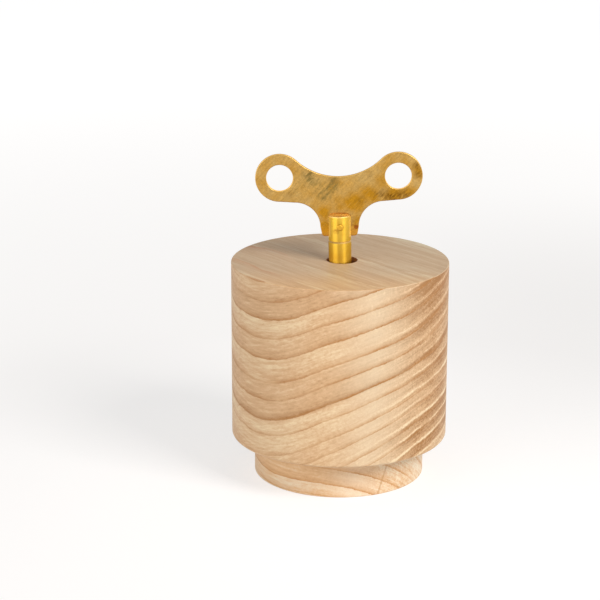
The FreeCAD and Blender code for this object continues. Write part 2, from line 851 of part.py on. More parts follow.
def bedplate():
    """The plate under the wooden top, with three posts for the spring housing."""
    front = plate_governor_side_y
    plate = block(plate_left_x, plate_right_x, front, plate_comb_side_y, plate_z, ceiling_z)
    plate = plate.common(rod(plate_corner_radius, plate_z, ceiling_z))
    post_end_z = depth(housing_arm_depth)
    posts = [rod(post_radius, post_end_z, plate_z, x, y) for x, y in post_places()]
    plate = joined([plate] + posts)
    plate = drilled(plate, arbor_radius + running_clearance, plate_z, ceiling_z)
    plate = drilled(plate, wood_screw_shank_radius, plate_z, ceiling_z, wood_screw_places())
    for x, y in post_places():
        hole_end_z = depth(post_screw_hole_end)
        plate = plate.cut(rod(small_shank_radius, post_end_z - cut_overrun, hole_end_z, x, y))
    for x, y in bracket_screw_places() + frame_screw_places() + cock_screw_places():
        plate = plate.cut(rod(small_shank_radius, plate_z - cut_overrun, drill_top_z, x, y))
    for x, y in comb_screw_places():
        plate = plate.cut(rod(comb_screw_shank_radius, plate_z - cut_overrun, drill_top_z, x, y))
    return plate


def wood_screws():
    head = (wood_screw_head_radius, wood_screw_head_height, wood_screw_shank_radius)
    length = plate_thickness + wood_screw_bite
    return [screw(*head, length, x, y, plate_z) for x, y in wood_screw_places()]


def tab_screws(places):
    """Screws up through a foot tab into the movement plate."""
    seat = depth(foot_tab_thickness)
    return [small_screw(drill_top_z - seat, x, y, seat) for x, y in places]


# Cylinder bracket
def bracket_screw_places():
    x = bracket_end_x + bracket_tab_length / 2
    y = bracket_half_width - bracket_tab_width / 2
    return [(x, -y), (x, y)]


def cylinder_bracket():
    """An upright with the cylinder's near bearing, and two foot tabs under the drum's end."""
    wide = bracket_half_width
    narrow = bracket_neck_half_width
    low = depth(cylinder_axis_depth + bracket_bearing_margin)
    upright = prism(
        [
            (bracket_start_x, -wide, plate_z),
            (bracket_start_x, wide, plate_z),
            (bracket_start_x, wide, depth(bracket_shoulder_depth)),
            (bracket_start_x, narrow, depth(bracket_neck_depth)),
            (bracket_start_x, narrow, low),
            (bracket_start_x, -narrow, low),
            (bracket_start_x, -narrow, depth(bracket_neck_depth)),
            (bracket_start_x, -wide, depth(bracket_shoulder_depth)),
        ],
        (bracket_thickness, 0, 0),
    )
    tab_end_x = bracket_end_x + bracket_tab_length
    tab_low_z = depth(foot_tab_thickness)
    inner_y = wide - bracket_tab_width
    near_tab = block(bracket_end_x, tab_end_x, -wide, -inner_y, tab_low_z, plate_z)
    far_tab = block(bracket_end_x, tab_end_x, inner_y, wide, tab_low_z, plate_z)
    bracket = joined([upright, near_tab, far_tab])
    bearing = cylinder_arbor_radius + running_clearance
    bracket = drilled_along_x(bracket, bearing, bracket_start_x, bracket_end_x, 0, axis_z)
    return drilled(bracket, small_shank_radius, tab_low_z, plate_z, bracket_screw_places())


# Pinned cylinder
def cylinder_arbor():
    shoulder = frame_start_x - shoulder_gap
    body = rod_along_x(cylinder_arbor_radius, pinion_start_x, shoulder, 0, axis_z)
    pivot = rod_along_x(cylinder_pivot_radius, shoulder, frame_end_x, 0, axis_z)
    return joined([body, pivot])


def drive_pinion():
    tooth = (pinion_addendum, pinion_dedendum, pinion_tooth_width, pinion_tip_width)
    gap_up = 180.0 / pinion_teeth
    wheel = toothed_disc(
        pinion_teeth, pinion_pitch_radius, tooth, pinion_length, cylinder_arbor_radius, gap_up
    )
    return moved(wheel, pinion_start_x, 0, axis_z)


def pin_angles(note):
    """Where this note's pins stand: an even spread, shifted from note to note by fixed steps."""
    gap = 360.0 / pins_per_note
    return [
        note * note_angle_step + index * gap + pin_shift_step * ((note * index) % pin_shift_cycle)
        for index in range(pins_per_note)
    ]


def note_x(note):
    return drum_start_x + note_pitch * (note + 0.5 + note_margin)


def melody_drum():
    """The thin brass drum with its pins, open at both ends."""
    drum = rod_along_x(drum_radius, drum_start_x, drum_end_x, 0, axis_z)
    root = drum_radius - pin_root
    pins = []
    for note in range(note_count):
        for angle in pin_angles(note):
            down, across = polar(1.0, angle)
            start = vector(note_x(note), across * root, axis_z - down * root)
            outwards = vector(0, across, -down)
            pins.append(Part.makeCylinder(pin_radius, pin_rise + pin_root, start, outwards))
    pinned = drum.multiFuse(pins)
    return drilled_along_x(pinned, drum_radius - drum_wall, drum_start_x, drum_end_x, 0, axis_z)


def drum_caps():
    caps = []
    for start in (drum_start_x, drum_end_x - cap_thickness):
        end = start + cap_thickness
        cap = rod_along_x(drum_radius - drum_wall, start, end, 0, axis_z)
        caps.append(drilled_along_x(cap, cylinder_arbor_radius, start, end, 0, axis_z))
    return caps


def great_wheel():
    wheel = toothed_disc(
        great_wheel_teeth,
        great_wheel_pitch_radius,
        (train_addendum, train_dedendum, train_tooth_width, train_tip_width),
        great_wheel_thickness,
        cylinder_arbor_radius,
        governor_mesh_angle(),
    )
    return moved(wheel, great_wheel_start_x, 0, axis_z)


# Comb
def comb_root_y(x):
    """The line of the teeth's roots, from the long bass teeth to the short treble ones."""
    share = (x - drum_start_x) / drum_length
    return comb_tip_y + bass_tooth_length + (treble_tooth_length - bass_tooth_length) * share


def comb_screw_places():
    y = (comb_rest_front_y + comb_back_y) / 2
    return [(drum_start_x + comb_screw_inset, y), (drum_end_x - comb_screw_inset, y)]


def comb():
    """A steel plate sawn into tuned teeth. Its tips stand level with the drum's axis."""
    low = comb_low_z - cut_overrun
    high = comb_top_z + cut_overrun
    front = comb_tip_y - cut_overrun
    half_slot = comb_slot / 2
    plate = block(drum_start_x, drum_end_x, comb_tip_y, comb_back_y, comb_low_z, comb_top_z)
    slots = []
    for note in range(note_count + 1):
        x = note_x(note - 0.5)
        start = x - half_slot if note > 0 else drum_start_x - cut_overrun
        end = x + half_slot if note < note_count else drum_end_x + cut_overrun
        slots.append(block(start, end, front, comb_root_y(x), low, high))
    plate = plate.cut(slots)
    return drilled(plate, comb_screw_shank_radius, comb_low_z, comb_top_z, comb_screw_places())


def bass_weights():
    """Small weights under the tips of the long teeth, which lower their notes."""
    half = (note_pitch - comb_slot) / 2
    front = comb_tip_y + bass_weight_inset
    back = front + bass_weight_length
    weights = []
    for note in range(bass_weight_count):
        x = note_x(note)
        height = bass_weight_height * (1 - note / bass_weight_fade)
        weights.append(block(x - half, x + half, front, back, comb_low_z - height, comb_low_z))
    return weights


def comb_rest():
    rest = block(drum_start_x, drum_end_x, comb_rest_front_y, comb_back_y, comb_top_z, plate_z)
    return drilled(rest, comb_screw_shank_radius, comb_top_z, plate_z, comb_screw_places())


def comb_screws():
    head = (comb_screw_head_radius, comb_screw_head_height, comb_screw_shank_radius)
    return [screw(*head, drill_top_z - comb_low_z, x, y, comb_low_z) for x, y in comb_screw_places()]


# Governor
def governor_mesh_angle():
    """The direction from the cylinder to the governor arbor, from straight down towards +Y."""
    return math.degrees(math.atan2(governor_y, axis_z - governor_z))


def frame_screw_places():
    x = frame_end_x + frame_screw_inset
    return [(x, frame_foot_start_y + frame_screw_inset), (x, frame_foot_end_y - frame_screw_inset)]


def cock_screw_places():
    tab_length = cock_start_x - frame_end_x - cock_tab_gap
    return [(cock_start_x - tab_length / 2 - shoulder_gap / 2, governor_y)]


def governor_frame():
    """The bent plate that carries the cylinder's far pivot, the governor arbor and the fly."""
    start = frame_start_x
    edge = frame_bearing_margin
    upright = prism(
        [
            (start, governor_y - edge, plate_z),
            (start, frame_foot_end_y, plate_z),
            (start, frame_foot_end_y, depth(frame_foot_edge_depth)),
            (start, frame_side_y, axis_z),
            (start, worm_y + tab_half_span, low_tab_z),
            (start, worm_y - tab_half_span, low_tab_z),
            (start, governor_y - edge, governor_z - edge),
        ],
        (frame_thickness, 0, 0),
    )
    tab_end_x = worm_x + tab_half_span
    tabs = [
        block(frame_end_x, tab_end_x, worm_y - tab_half_span, worm_y + tab_half_span, z, z + tab_thickness)
        for z in (high_tab_z, low_tab_z)
    ]
    foot_end_x = frame_end_x + frame_foot_length
    foot_low_z = depth(foot_tab_thickness)
    foot_tab = block(frame_end_x, foot_end_x, frame_foot_start_y, frame_foot_end_y, foot_low_z, plate_z)
    frame = joined([upright, foot_tab] + tabs)
    cylinder_bearing = cylinder_pivot_radius + running_clearance
    governor_bearing = governor_arbor_radius + running_clearance
    fly_bearing = fly_arbor_radius + running_clearance
    frame = drilled_along_x(frame, cylinder_bearing, start, frame_end_x, 0, axis_z)
    frame = drilled_along_x(frame, governor_bearing, start, frame_end_x, governor_y, governor_z)
    frame = drilled(frame, fly_bearing, low_tab_z, high_tab_z + tab_thickness, [(worm_x, worm_y)])
    return drilled(frame, small_shank_radius, foot_low_z, plate_z, frame_screw_places())


def governor_cock():
    """The small bracket that carries the governor arbor's outer pivot."""
    half = cock_half_width
    front = governor_y - half
    back = governor_y + half
    tab_start_x = frame_end_x + cock_tab_gap
    tab_low_z = depth(foot_tab_thickness)
    upright = block(cock_start_x, cock_end_x, front, back, governor_z - half, plate_z)
    tab = block(tab_start_x, cock_start_x, front, back, tab_low_z, plate_z)
    bearing = governor_pivot_radius + running_clearance
    cock = joined([upright, tab])
    cock = drilled_along_x(cock, bearing, cock_start_x, cock_end_x, governor_y, governor_z)
    return drilled(cock, small_shank_radius, tab_low_z, plate_z, cock_screw_places())


def governor_arbor():
    start = great_wheel_start_x - governor_pinion_overlap
    shoulder = cock_start_x - shoulder_gap
    body = rod_along_x(governor_arbor_radius, start, shoulder, governor_y, governor_z)
    pivot = rod_along_x(governor_pivot_radius, shoulder, cock_end_x, governor_y, governor_z)
    return joined([body, pivot])


def governor_pinion():
    start = great_wheel_start_x - governor_pinion_overlap
    end = frame_start_x - shoulder_gap
    wheel = toothed_disc(
        governor_pinion_teeth,
        governor_pinion_pitch_radius,
        (train_addendum, train_dedendum, train_tooth_width, train_tip_width),
        end - start,
        governor_arbor_radius,
        governor_mesh_angle() + 180.0 + 180.0 / governor_pinion_teeth,
    )
    return moved(wheel, start, governor_y, governor_z)


def governor_wheel():
    wheel = toothed_disc(
        governor_wheel_teeth,
        governor_wheel_pitch_radius,
        (worm_wheel_addendum, train_dedendum, worm_wheel_tooth_width, worm_wheel_tip_width),
        governor_wheel_face,
        governor_arbor_radius,
        90.0 + 180.0 / governor_wheel_teeth,
    )
    return moved(wheel, worm_x - governor_wheel_face / 2, governor_y, governor_z)


def worm():
    """A rounded single start screw: a circle that moves round a small helix as it rises."""
    low = governor_z - worm_length / 2
    high = governor_z + worm_length / 2
    # the crest faces -Y where the wheel's gap lies, at the height of the wheel's arbor
    start_angle = -90.0 - 360.0 * worm_turns / 2
    rings = []
    for index in range(int(worm_turns * worm_steps_per_turn) + 1):
        turn = index / worm_steps_per_turn
        shift_x, shift_y = polar(worm_thread_height, start_angle + 360.0 * turn)
        centre = vector(worm_x + shift_x, worm_y + shift_y, low + worm_pitch * turn)
        rings.append(Part.Wire(Part.Circle(centre, vector(0, 0, 1), worm_mean_radius).toShape()))
    thread = Part.makeLoft(rings, True, True)
    upper = rod(fly_arbor_radius, high, high_tab_z + tab_thickness, worm_x, worm_y)
    lower = rod(fly_arbor_radius, fly_top_z - fly_height, low, worm_x, worm_y)
    return joined([thread, upper, lower])


def fly():
    """The air brake: a hub with two thin vanes on the end of the worm's arbor."""
    low = fly_top_z - fly_height
    half = vane_thickness / 2
    hub = rod(fly_hub_radius, low, fly_top_z, worm_x, worm_y)
    vanes = block(worm_x - vane_reach, worm_x + vane_reach, worm_y - half, worm_y + half, low, fly_top_z)
    return drilled(joined([hub, vanes]), fly_arbor_radius, low, fly_top_z, [(worm_x, worm_y)])


os.makedirs("parts", exist_ok=True)

save("body_shell", body_shell())
save("bottom_board", bottom_board())
save("foot", foot())
save("foot_screws", *foot_screws())
save("base_felt", base_felt())

save("key_wing", place_key(key_wing()))
save("key_barrel", place_key(key_barrel()))
save("key_rivet", place_key(key_rivet()))

save("winding_arbor", winding_arbor())
save("drive_wheel", drive_wheel())
save("ratchet_wheel", ratchet_wheel())
save("click", click())
save("click_pin", click_pin())
save("click_spring", click_spring())

save("bedplate", bedplate())
save("wood_screws", *wood_screws())
save("spring_housing", spring_housing())
save("spring_cover", spring_cover())
save("housing_screws", *housing_screws())
save("mainspring", mainspring())

save("cylinder_bracket", cylinder_bracket())
save("bracket_screws", *tab_screws(bracket_screw_places()))
save("cylinder_arbor", cylinder_arbor())
save("drive_pinion", drive_pinion())
save("melody_drum", melody_drum())
save("drum_caps", *drum_caps())
save("great_wheel", great_wheel())

save("comb", comb())
save("bass_weights", *bass_weights())
save("comb_rest", comb_rest())
save("comb_screws", *comb_screws())

save("governor_frame", governor_frame())
save("frame_screws", *tab_screws(frame_screw_places()))
save("governor_cock", governor_cock())
save("cock_screw", *tab_screws(cock_screw_places()))
save("governor_arbor", governor_arbor())
save("governor_pinion", governor_pinion())
save("governor_wheel", governor_wheel())
save("worm", worm())
save("fly", fly())
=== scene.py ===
from math import atan2, cos, degrees, hypot, pi, radians, sin, sqrt

import bmesh
import bpy
from mathutils import Matrix, Vector
from mathutils.geometry import tessellate_polygon


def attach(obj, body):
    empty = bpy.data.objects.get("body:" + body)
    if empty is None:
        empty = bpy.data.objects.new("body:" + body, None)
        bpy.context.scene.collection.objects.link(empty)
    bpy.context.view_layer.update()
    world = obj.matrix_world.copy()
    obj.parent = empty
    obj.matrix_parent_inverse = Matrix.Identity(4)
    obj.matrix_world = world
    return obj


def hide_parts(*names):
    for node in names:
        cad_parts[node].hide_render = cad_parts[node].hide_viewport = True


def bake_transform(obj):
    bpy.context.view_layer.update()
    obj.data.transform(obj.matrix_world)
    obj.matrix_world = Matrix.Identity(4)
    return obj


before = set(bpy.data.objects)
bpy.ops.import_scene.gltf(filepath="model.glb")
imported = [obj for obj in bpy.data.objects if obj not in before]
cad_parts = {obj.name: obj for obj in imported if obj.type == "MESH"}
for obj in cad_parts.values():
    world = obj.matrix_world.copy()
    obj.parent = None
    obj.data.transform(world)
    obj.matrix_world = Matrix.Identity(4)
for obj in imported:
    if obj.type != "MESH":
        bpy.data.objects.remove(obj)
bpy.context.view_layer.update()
MM = 0.001

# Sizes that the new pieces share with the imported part, in millimetres
FOOT_TOP = 16.3
CEILING = 82.9
TOP = 90.9
KEY_HOLE_RADIUS = 6.4
KEY_HOLE_PLACE = (0.8, 1.1)
FOOT_SCREW_CIRCLE = 24.0
WOOD_SCREW_PLACES = ((-13.55, -13.55), (-13.55, 13.55), (9.3, 19.35), (23.15, -13.55))
KEY_TURN = 1.1
KEY_LEAN = 1.25
KEY_PIVOT = 91.9
EAR_PLACE = (24.25, 35.4)
EAR_RADIUS = 9.95
EAR_HOLE_RADIUS = 5.45
WING_LOW_POINT = 35.6
FILLET_RADIUS = 10.4
FILLET_TOP = 25.0
FILLET_SIDE = 7.9
TAB_HALF_WIDTH = 7.4
TAB_BOTTOM = 10.6
TAB_CORNER = 1.4
WING_THICKNESS = 1.5
WING_EDGE = 0.32
DIMPLE_PLACE = (6.5, 14.4)
RIVET_HEIGHT = 15.1
RIVET_RADIUS = 0.9
RIVET_HOLE_EDGE = 0.05
BROKEN_EDGE = 0.3
GROOVE_HEIGHT = 8.6
CLICK_SPRING_FOOT = (9.6, 0.6)
SPRING_CUTS = 16
# Lathe work is turned about a thin spindle, whose end is then closed, in metres
SPINDLE = 0.01
WELD = 0.0000004
KEY_HOLE_REACH = 0.012
# Edges stay sharp where the faces turn by more than this many degrees
SHARP_TURN = 35

# The log, ring by ring: how far its dark line is from the pith in millimetres, how much paler than the rest
# its side grain is, and on the end grain how clear its cream line and how deep the brown above it is
LOG_START = 150.0
LOG_DEPTH = 100.0
GROWTH_LINES = (
    (156, 0.02, 0.9, 0.9), (161, 0.04, 1, 0.9), (167, 0, 0.8, 1), (171.5, 0.05, 1, 0.6),
    (178, 0.02, 0.45, 0.5), (183, 0.1, 1, 0.7), (190, 0.12, 0.5, 0.35), (195.3, -0.06, 0.3, 0.35),
    (202.3, -0.05, 0.6, 0.7), (208.6, 0.12, 0.7, 0.75), (217.2, -0.02, 0.35, 0.9), (224.5, 0.1, 0.4, 0.8),
    (231.3, -0.1, 0.5, 0.8), (238, 0, 0.5, 0.8), (245, 0.06, 0.5, 0.8),
)
RING_COUNT = len(GROWTH_LINES) + 1
SIDE_TONE, CLEARNESS, DEPTH = 1, 2, 3
# Tones through one ring, from its start outwards
DARK_LINE = ((0, 1), (0.05, 0.95), (0.1, 0.55), (0.17, 0.3), (0.35, 0.12), (0.6, 0), (1, 0))
CREAM_LINE = (
    (0, 1), (0.05, 0.85), (0.1, 0.4), (0.16, 0.12), (0.24, 0), (0.82, 0), (0.88, 0.2), (0.93, 0.8),
    (0.96, 1),
)
END_SHADE = ((0, 0.2), (0.12, 0.3), (0.3, 0.44), (0.6, 0.52), (0.82, 0.62), (0.92, 0.7), (1, 0.36))
# On end grain a ring's tones are counted from this far inside it
END_SHIFT = 0.33
# How the pith bows sideways and upwards along the log
LOG_BOW = 0.00148
LOG_SLOPE, LOG_ARCH, LOG_TWIST = 0.0187, 0.000906, 0.0000393
# Noise in the wood: scale, detail, roughness, and stretch along the log, across it and up
WANDER = (0.05, 2, 0.5, (0.6, 1, 1))
FEATHER = (0.75, 3, 0.6, (0.25, 1, 1))
FADING = (0.09, 2, 0.5, (0.5, 1, 1))
LAYER = (0.08, 5, 0.72)
BLOTCH = (0.06, 3, 0.5, (0.5, 1, 1.6))
STREAK = (0.9, 4, 0.6, (0.05, 1, 1))
SHORT_STREAK = (1.1, 3, 0.55, (0.22, 1, 1))
BROAD_STREAK = (0.22, 3, 0.5, (0.06, 1, 1))
GRIT = (2.6, 2, 0.6, (0.45, 1, 0.8))
PORE = (1.6, 1, 0.5, (0.12, 1, 1))
RAY = (0.7, 2, 0.5, (0.6, 1, 0.3))
WOOD_BUMP = 0.00003
METAL_BUMP = 0.00001
FELT_BUMP = 0.0002
WHITE = (1, 1, 1, 1)


def tint(red, green, blue):
    """A colour picked as it looks on a screen, 0 to 255, as linear light."""
    parts = []
    for value in (red, green, blue):
        share = value / 255
        parts.append(share / 12.92 if share <= 0.04045 else ((share + 0.055) / 1.055) ** 2.4)
    return (*parts, 1.0)


class Wire:
    """What comes out of a node. Arithmetic on wires that carry numbers puts Math nodes in the tree."""

    def __init__(self, loom, socket):
        self.loom = loom
        self.socket = socket

    def sum(self, operation, *values, clamp=False):
        """Arithmetic on numbers, with this one first."""
        feeds = enumerate((self, *values))
        return self.loom.wire("ShaderNodeMath", feeds, operation=operation, use_clamp=clamp)

    def arrow(self, operation, *values):
        """Arithmetic on vectors, with this one first."""
        place = "Value" if operation in ("LENGTH", "DOT_PRODUCT", "DISTANCE") else "Vector"
        return self.loom.wire("ShaderNodeVectorMath", enumerate((self, *values)), place, operation=operation)

    def __add__(self, other):
        return self.sum("ADD", other)

    __radd__ = __add__

    def __sub__(self, other):
        return self.sum("SUBTRACT", other)

    def __rsub__(self, other):
        return self.sum("MULTIPLY_ADD", -1.0, other)

    def __mul__(self, other):
        return self.sum("MULTIPLY", other)

    def __abs__(self):
        return self.sum("ABSOLUTE")

    def spread(self, low, high, out_low=0.0, out_high=1.0, smooth=False):
        """The number moved from one range to another, and held there."""
        feeds = {"Value": self, "From Min": low, "From Max": high, "To Min": out_low, "To Max": out_high}
        kind = "SMOOTHSTEP" if smooth else "LINEAR"
        return self.loom.wire("ShaderNodeMapRange", feeds, interpolation_type=kind)

    def blend(self, first, second, how="MIX"):
        """Two colours mixed, with this number as the second one's share."""
        feeds = {0: self, 6: first, 7: second}
        return self.loom.wire("ShaderNodeMix", feeds, 2, data_type="RGBA", blend_type=how)

    def levels(self, stops, kind="LINEAR"):
        """A number that follows (place, level) stops."""
        node = self.loom.put("ShaderNodeValToRGB", {0: self})
        band = node.color_ramp
        band.interpolation = kind
        while len(band.elements) < len(stops):
            band.elements.new(0.5)
        for element, (place, _) in zip(band.elements, stops):
            element.position = place
        for element, (_, level) in zip(band.elements, stops):
            element.color = (level, level, level, 1.0)
        return self.loom.wire("ShaderNodeSeparateColor", {0: node.outputs[0]})

    def ring_value(self, column, shift=0.0):
        """A number that each growth ring has for itself."""
        middle = ((self - shift).sum("FLOOR") + 0.5).sum("DIVIDE", RING_COUNT)
        stops = [(0.0, 0.5)]
        for place, line in enumerate(GROWTH_LINES, 1):
            stops.append((place / RING_COUNT, 0.5 + line[column] / 2))
        return middle.levels(stops, "CONSTANT") * 2.0 - 1.0

    def split(self):
        """The vector's three parts."""
        parts = self.loom.put("ShaderNodeSeparateXYZ", {0: self}).outputs
        return [Wire(self.loom, part) for part in parts]

    def cloud(self, scale, detail=3.0, roughness=0.5, stretch=None):
        """Soft noise from 0 to 1 about 0.5 at this place, with a stretch for each axis."""
        place = self if stretch is None else self.arrow("MULTIPLY", stretch)
        feeds = {"Vector": place, "Scale": scale, "Detail": detail, "Roughness": roughness}
        return self.loom.wire("ShaderNodeTexNoise", feeds)

    def drift(self, *settings):
        """The same noise, about 0."""
        return self.cloud(*settings) - 0.5


class Loom:
    """Puts nodes in one tree and wires them up."""

    def __init__(self, tree):
        self.tree = tree

    def put(self, kind, feeds=(), **settings):
        """A new node with its settings and what goes into it."""
        node = self.tree.nodes.new(kind)
        for name, value in settings.items():
            setattr(node, name, value)
        self.feed(node, feeds)
        return node

    def feed(self, node, feeds):
        """Joins or sets a node's inputs, by name or number."""
        for place, value in dict(feeds).items():
            if isinstance(value, Wire):
                value = value.socket
            if isinstance(value, bpy.types.NodeSocket):
                self.tree.links.new(value, node.inputs[place])
            else:
                node.inputs[place].default_value = value

    def wire(self, kind, feeds=(), place=0, **settings):
        """What comes out of a new node at one place."""
        return Wire(self, self.put(kind, feeds, **settings).outputs[place])

    def join(self, x=0.0, y=0.0, z=0.0):
        return self.wire("ShaderNodeCombineXYZ", {0: x, 1: y, 2: z})

    def coordinates(self, kind):
        return self.wire("ShaderNodeTexCoord", (), kind)

    def millimetres(self, turn=(0, 0, 0)):
        """The object's own coordinates, turned about its origin by degrees."""
        angles = tuple(radians(angle) for angle in turn)
        feeds = {"Vector": self.coordinates("Object"), "Scale": (1000, 1000, 1000), "Rotation": angles}
        return self.wire("ShaderNodeMapping", feeds)

    def seen(self):
        """1 for rays from the camera, straight or by way of a gloss or a glass, or else 0."""
        path = self.put("ShaderNodeLightPath").outputs
        straight = Wire(self, path["Is Camera Ray"]).sum("MAXIMUM", path["Is Glossy Ray"])
        return straight.sum("MAXIMUM", path["Is Transmission Ray"])


def socket_kind(value):
    """The kind of socket for a value. None stands for a material."""
    if value is None:
        return "NodeSocketMaterial"
    if isinstance(value, tuple):
        return "NodeSocketVector" if len(value) == 3 else "NodeSocketColor"
    return "NodeSocketInt" if isinstance(value, int) else "NodeSocketFloat"


def new_group(name, kind, inlets, outlets):
    """An empty node group, as its loom and its named inputs."""
    tree = bpy.data.node_groups.new(name, kind)
    for label, value in inlets.items():
        socket = tree.interface.new_socket(label, in_out="INPUT", socket_type=socket_kind(value))
        if value is not None:
            socket.default_value = value
    for label, sort in outlets.items():
        tree.interface.new_socket(label, in_out="OUTPUT", socket_type="NodeSocket" + sort)
    loom = Loom(tree)
    return loom, {part.name: Wire(loom, part) for part in loom.put("NodeGroupInput").outputs}


def growth_rings():
    """Which growth ring of a bowed log a point lies in, and how far through it, counted outwards.
    Place is in millimetres, X along the log, Y across it and Z up."""
    inlets = {
        "Place": (0, 0, 0), "Pith Across": 0.0, "Pith Height": 0.0, "Bend": 0.0, "Wander": 1.0,
        "Feather": 0.5, "Ring Shift": 0.0,
    }
    outlets = {"Radius": "Float", "Number": "Float"}
    loom, given = new_group("growth_rings", "ShaderNodeTree", inlets, outlets)
    along, across, up = given["Place"].split()
    squared = along * along
    side = across - given["Pith Across"] + squared * LOG_BOW
    rise = up - given["Pith Height"] + along * LOG_SLOPE - squared * LOG_ARCH + squared * along * LOG_TWIST
    # the log swells low on its far side and at its near end
    far = (across - 2).sum("MAXIMUM", 0) * 0.14 * up.spread(52, 72, 1, 0, True)
    near = (-8 - along).sum("MAXIMUM", 0) * 0.2
    # and sags between them
    sag = across.spread(-45, -31, 1.2, -1.6, True) + across.spread(-29, 0, 0, 1.6, True)
    sag *= up.spread(34, 50, 0.5, 1)
    rise += (near + far + sag) * given["Bend"]
    radius = (side * side + rise * rise).sum("SQRT")
    radius += given["Place"].drift(*WANDER) * given["Wander"]
    radius += given["Place"].drift(*FEATHER) * given["Feather"] + given["Ring Shift"]
    stops = [(0, 0)]
    for number, line in enumerate(GROWTH_LINES, 1):
        stops.append(((line[0] - LOG_START) / LOG_DEPTH, number / RING_COUNT))
    stops.append((1, 1))
    share = radius.spread(LOG_START, LOG_START + LOG_DEPTH).levels(stops)
    loom.put("NodeGroupOutput", {"Radius": radius, "Number": share * RING_COUNT})
    return loom.tree


def turned_timber():
    """Colour, roughness and height of bare turned wood by its rings and fibres, and how dark its lines are.
    On side grain a ring starts with a dark line, and on end grain a cream line runs inside it."""
    inlets = {
        "Place": (0, 0, 0), "Radius": 0.0, "Number": 0.0, "Facing": 0.0, "Flat": 0.0, "Fibre Tilt": 0.0,
        "Line Strength": 1.0, "Low Lines": 1.0, "Ring Tones": 1.0, "Heart Line": 195.3, "Cream Lines": 1.0,
        "End Lines": 0.0, "End Shade": 1.0, "Bleached": WHITE, "Pale": WHITE, "Tan": WHITE, "Brown": WHITE,
        "Line": WHITE,
    }
    outlets = {"Color": "Color", "Roughness": "Float", "Height": "Float", "Dark": "Float"}
    loom, given = new_group("turned_timber", "ShaderNodeTree", inlets, outlets)
    own, facing, flat, number = (given[label] for label in ("Place", "Facing", "Flat", "Number"))
    along, across, up = own.split()
    level = 1 - flat
    feeds = {"Vector": own, "Angle": given["Fibre Tilt"] * level}
    place = loom.wire("ShaderNodeVectorRotate", feeds, rotation_type="Y_AXIS")
    ends = facing.spread(0.4, 0.9, smooth=True)
    sides = 1 - ends
    # the brown reaches further round low on the piece
    browned = (facing + up.spread(15, 45, 0.08, 0)).spread(0.68, 1)
    fair = 1 - browned
    # lines and layers fade and come back along the log
    fading = own.cloud(*FADING).spread(0.35, 0.6, 0.55, 1.15)
    # side grain, with softer lines low on the drum
    dark = number.sum("FRACT").levels(DARK_LINE) * fading
    dark *= up.spread(18, 48, given["Low Lines"], 1)
    side = 0.535 - dark * 0.36
    # end grain
    shifted = (number - END_SHIFT).sum("FRACT")
    # a cream line straddles the step between two rings, so its strength blends from one to the next
    half = shifted.sum("LESS_THAN", 0.5)
    clear = half * number.ring_value(CLEARNESS, END_SHIFT)
    clear = (1 - half) * number.ring_value(CLEARNESS, END_SHIFT - 1) + clear
    cream = shifted.levels(CREAM_LINE) * fading * clear
    shade = shifted.levels(END_SHADE) * number.ring_value(DEPTH, END_SHIFT)
    shade *= browned * up.spread(36, 50, 1.1, 1.4)
    # high up the end grain is browner all over, and its cream lines are fainter
    tanned = up.spread(40, 78) * browned
    ground = 0.6 - (shade + tanned * 0.14) * given["End Shade"]
    cream *= 1 - tanned * 0.4
    end = ground + cream * (0.92 - ground) * given["Cream Lines"]
    end = end - dark * fair * 0.22 - dark * given["End Lines"]
    tone = side + ends * (end - side)
    tone = 0.5 + (tone - 0.5) * (given["Line Strength"] * level)
    # on a flat cut the lines show as pale bands
    tone += dark * flat * 0.22
    # each ring has a tone of its own
    ring_tone = number.ring_value(SIDE_TONE) * (1 - ends * 0.7) * level
    tone += ring_tone * given["Ring Tones"]
    # one broad dark ring in the log, soft above and sharp below
    off_heart = given["Radius"] - given["Heart Line"]
    heart = off_heart.spread(0.4, 3.2, 1, 0, True) * off_heart.spread(-1, 0.2, smooth=True)
    tone -= heart * level * (0.22 + ends * 0.1)
    # thin layers run with the rings, and fibres with the log
    layer = loom.join(given["Radius"] * 14, along, across).drift(*LAYER)
    streak = place.drift(*STREAK)
    short = place.drift(*SHORT_STREAK)
    tone += layer * (0.9 - flat * 0.75) + layer * browned * 0.7
    tone += place.drift(*BLOTCH) * level * 0.4
    tone += streak * (0.3 + sides * 0.25) + short * (0.15 + browned * 0.85)
    # the cut ends of the fibres give a fine grit
    grit = place.drift(*GRIT)
    tone += grit * (0.2 + ends * 0.65)
    tone += place.drift(*BROAD_STREAK) * (0.1 + flat * 0.6)
    # open pores show as short dark dashes along the fibres, most of all in the dark lines
    pore = (0.33 + dark * sides * 0.1 - place.cloud(*PORE)).spread(0, 0.06)
    tone -= pore * 0.14
    # pale rays cross the rings where the cut turns from side grain to end grain
    ray = place.cloud(*RAY).spread(0.58, 0.72) * ends * fair
    tone += ray * up.spread(55, 85, 0.4, 1) * 0.4
    # and the wood is bleached about there, and duller higher up
    bleached = facing.spread(0.2, 0.8, smooth=True) * fair
    tone += bleached * up.spread(25, 72, -0.04, -0.26)
    light = tone.spread(0.5, 1).blend(given["Tan"], given["Pale"])
    colour = tone.spread(-0.18, 0.5).blend(given["Brown"], light)
    colour = (bleached * (0.6 - dark * 0.6)).blend(colour, given["Bleached"])
    # the dark lines lean to orange
    colour = (dark * level * 0.4).blend(colour, given["Line"])
    results = {
        "Color": colour,
        "Roughness": tone.spread(0, 1, 0.62, 0.5),
        "Height": streak * 0.5 + (short + grit) * 0.4 - pore * 0.8,
        "Dark": dark,
    }
    loom.put("NodeGroupOutput", results)
    return loom.tree


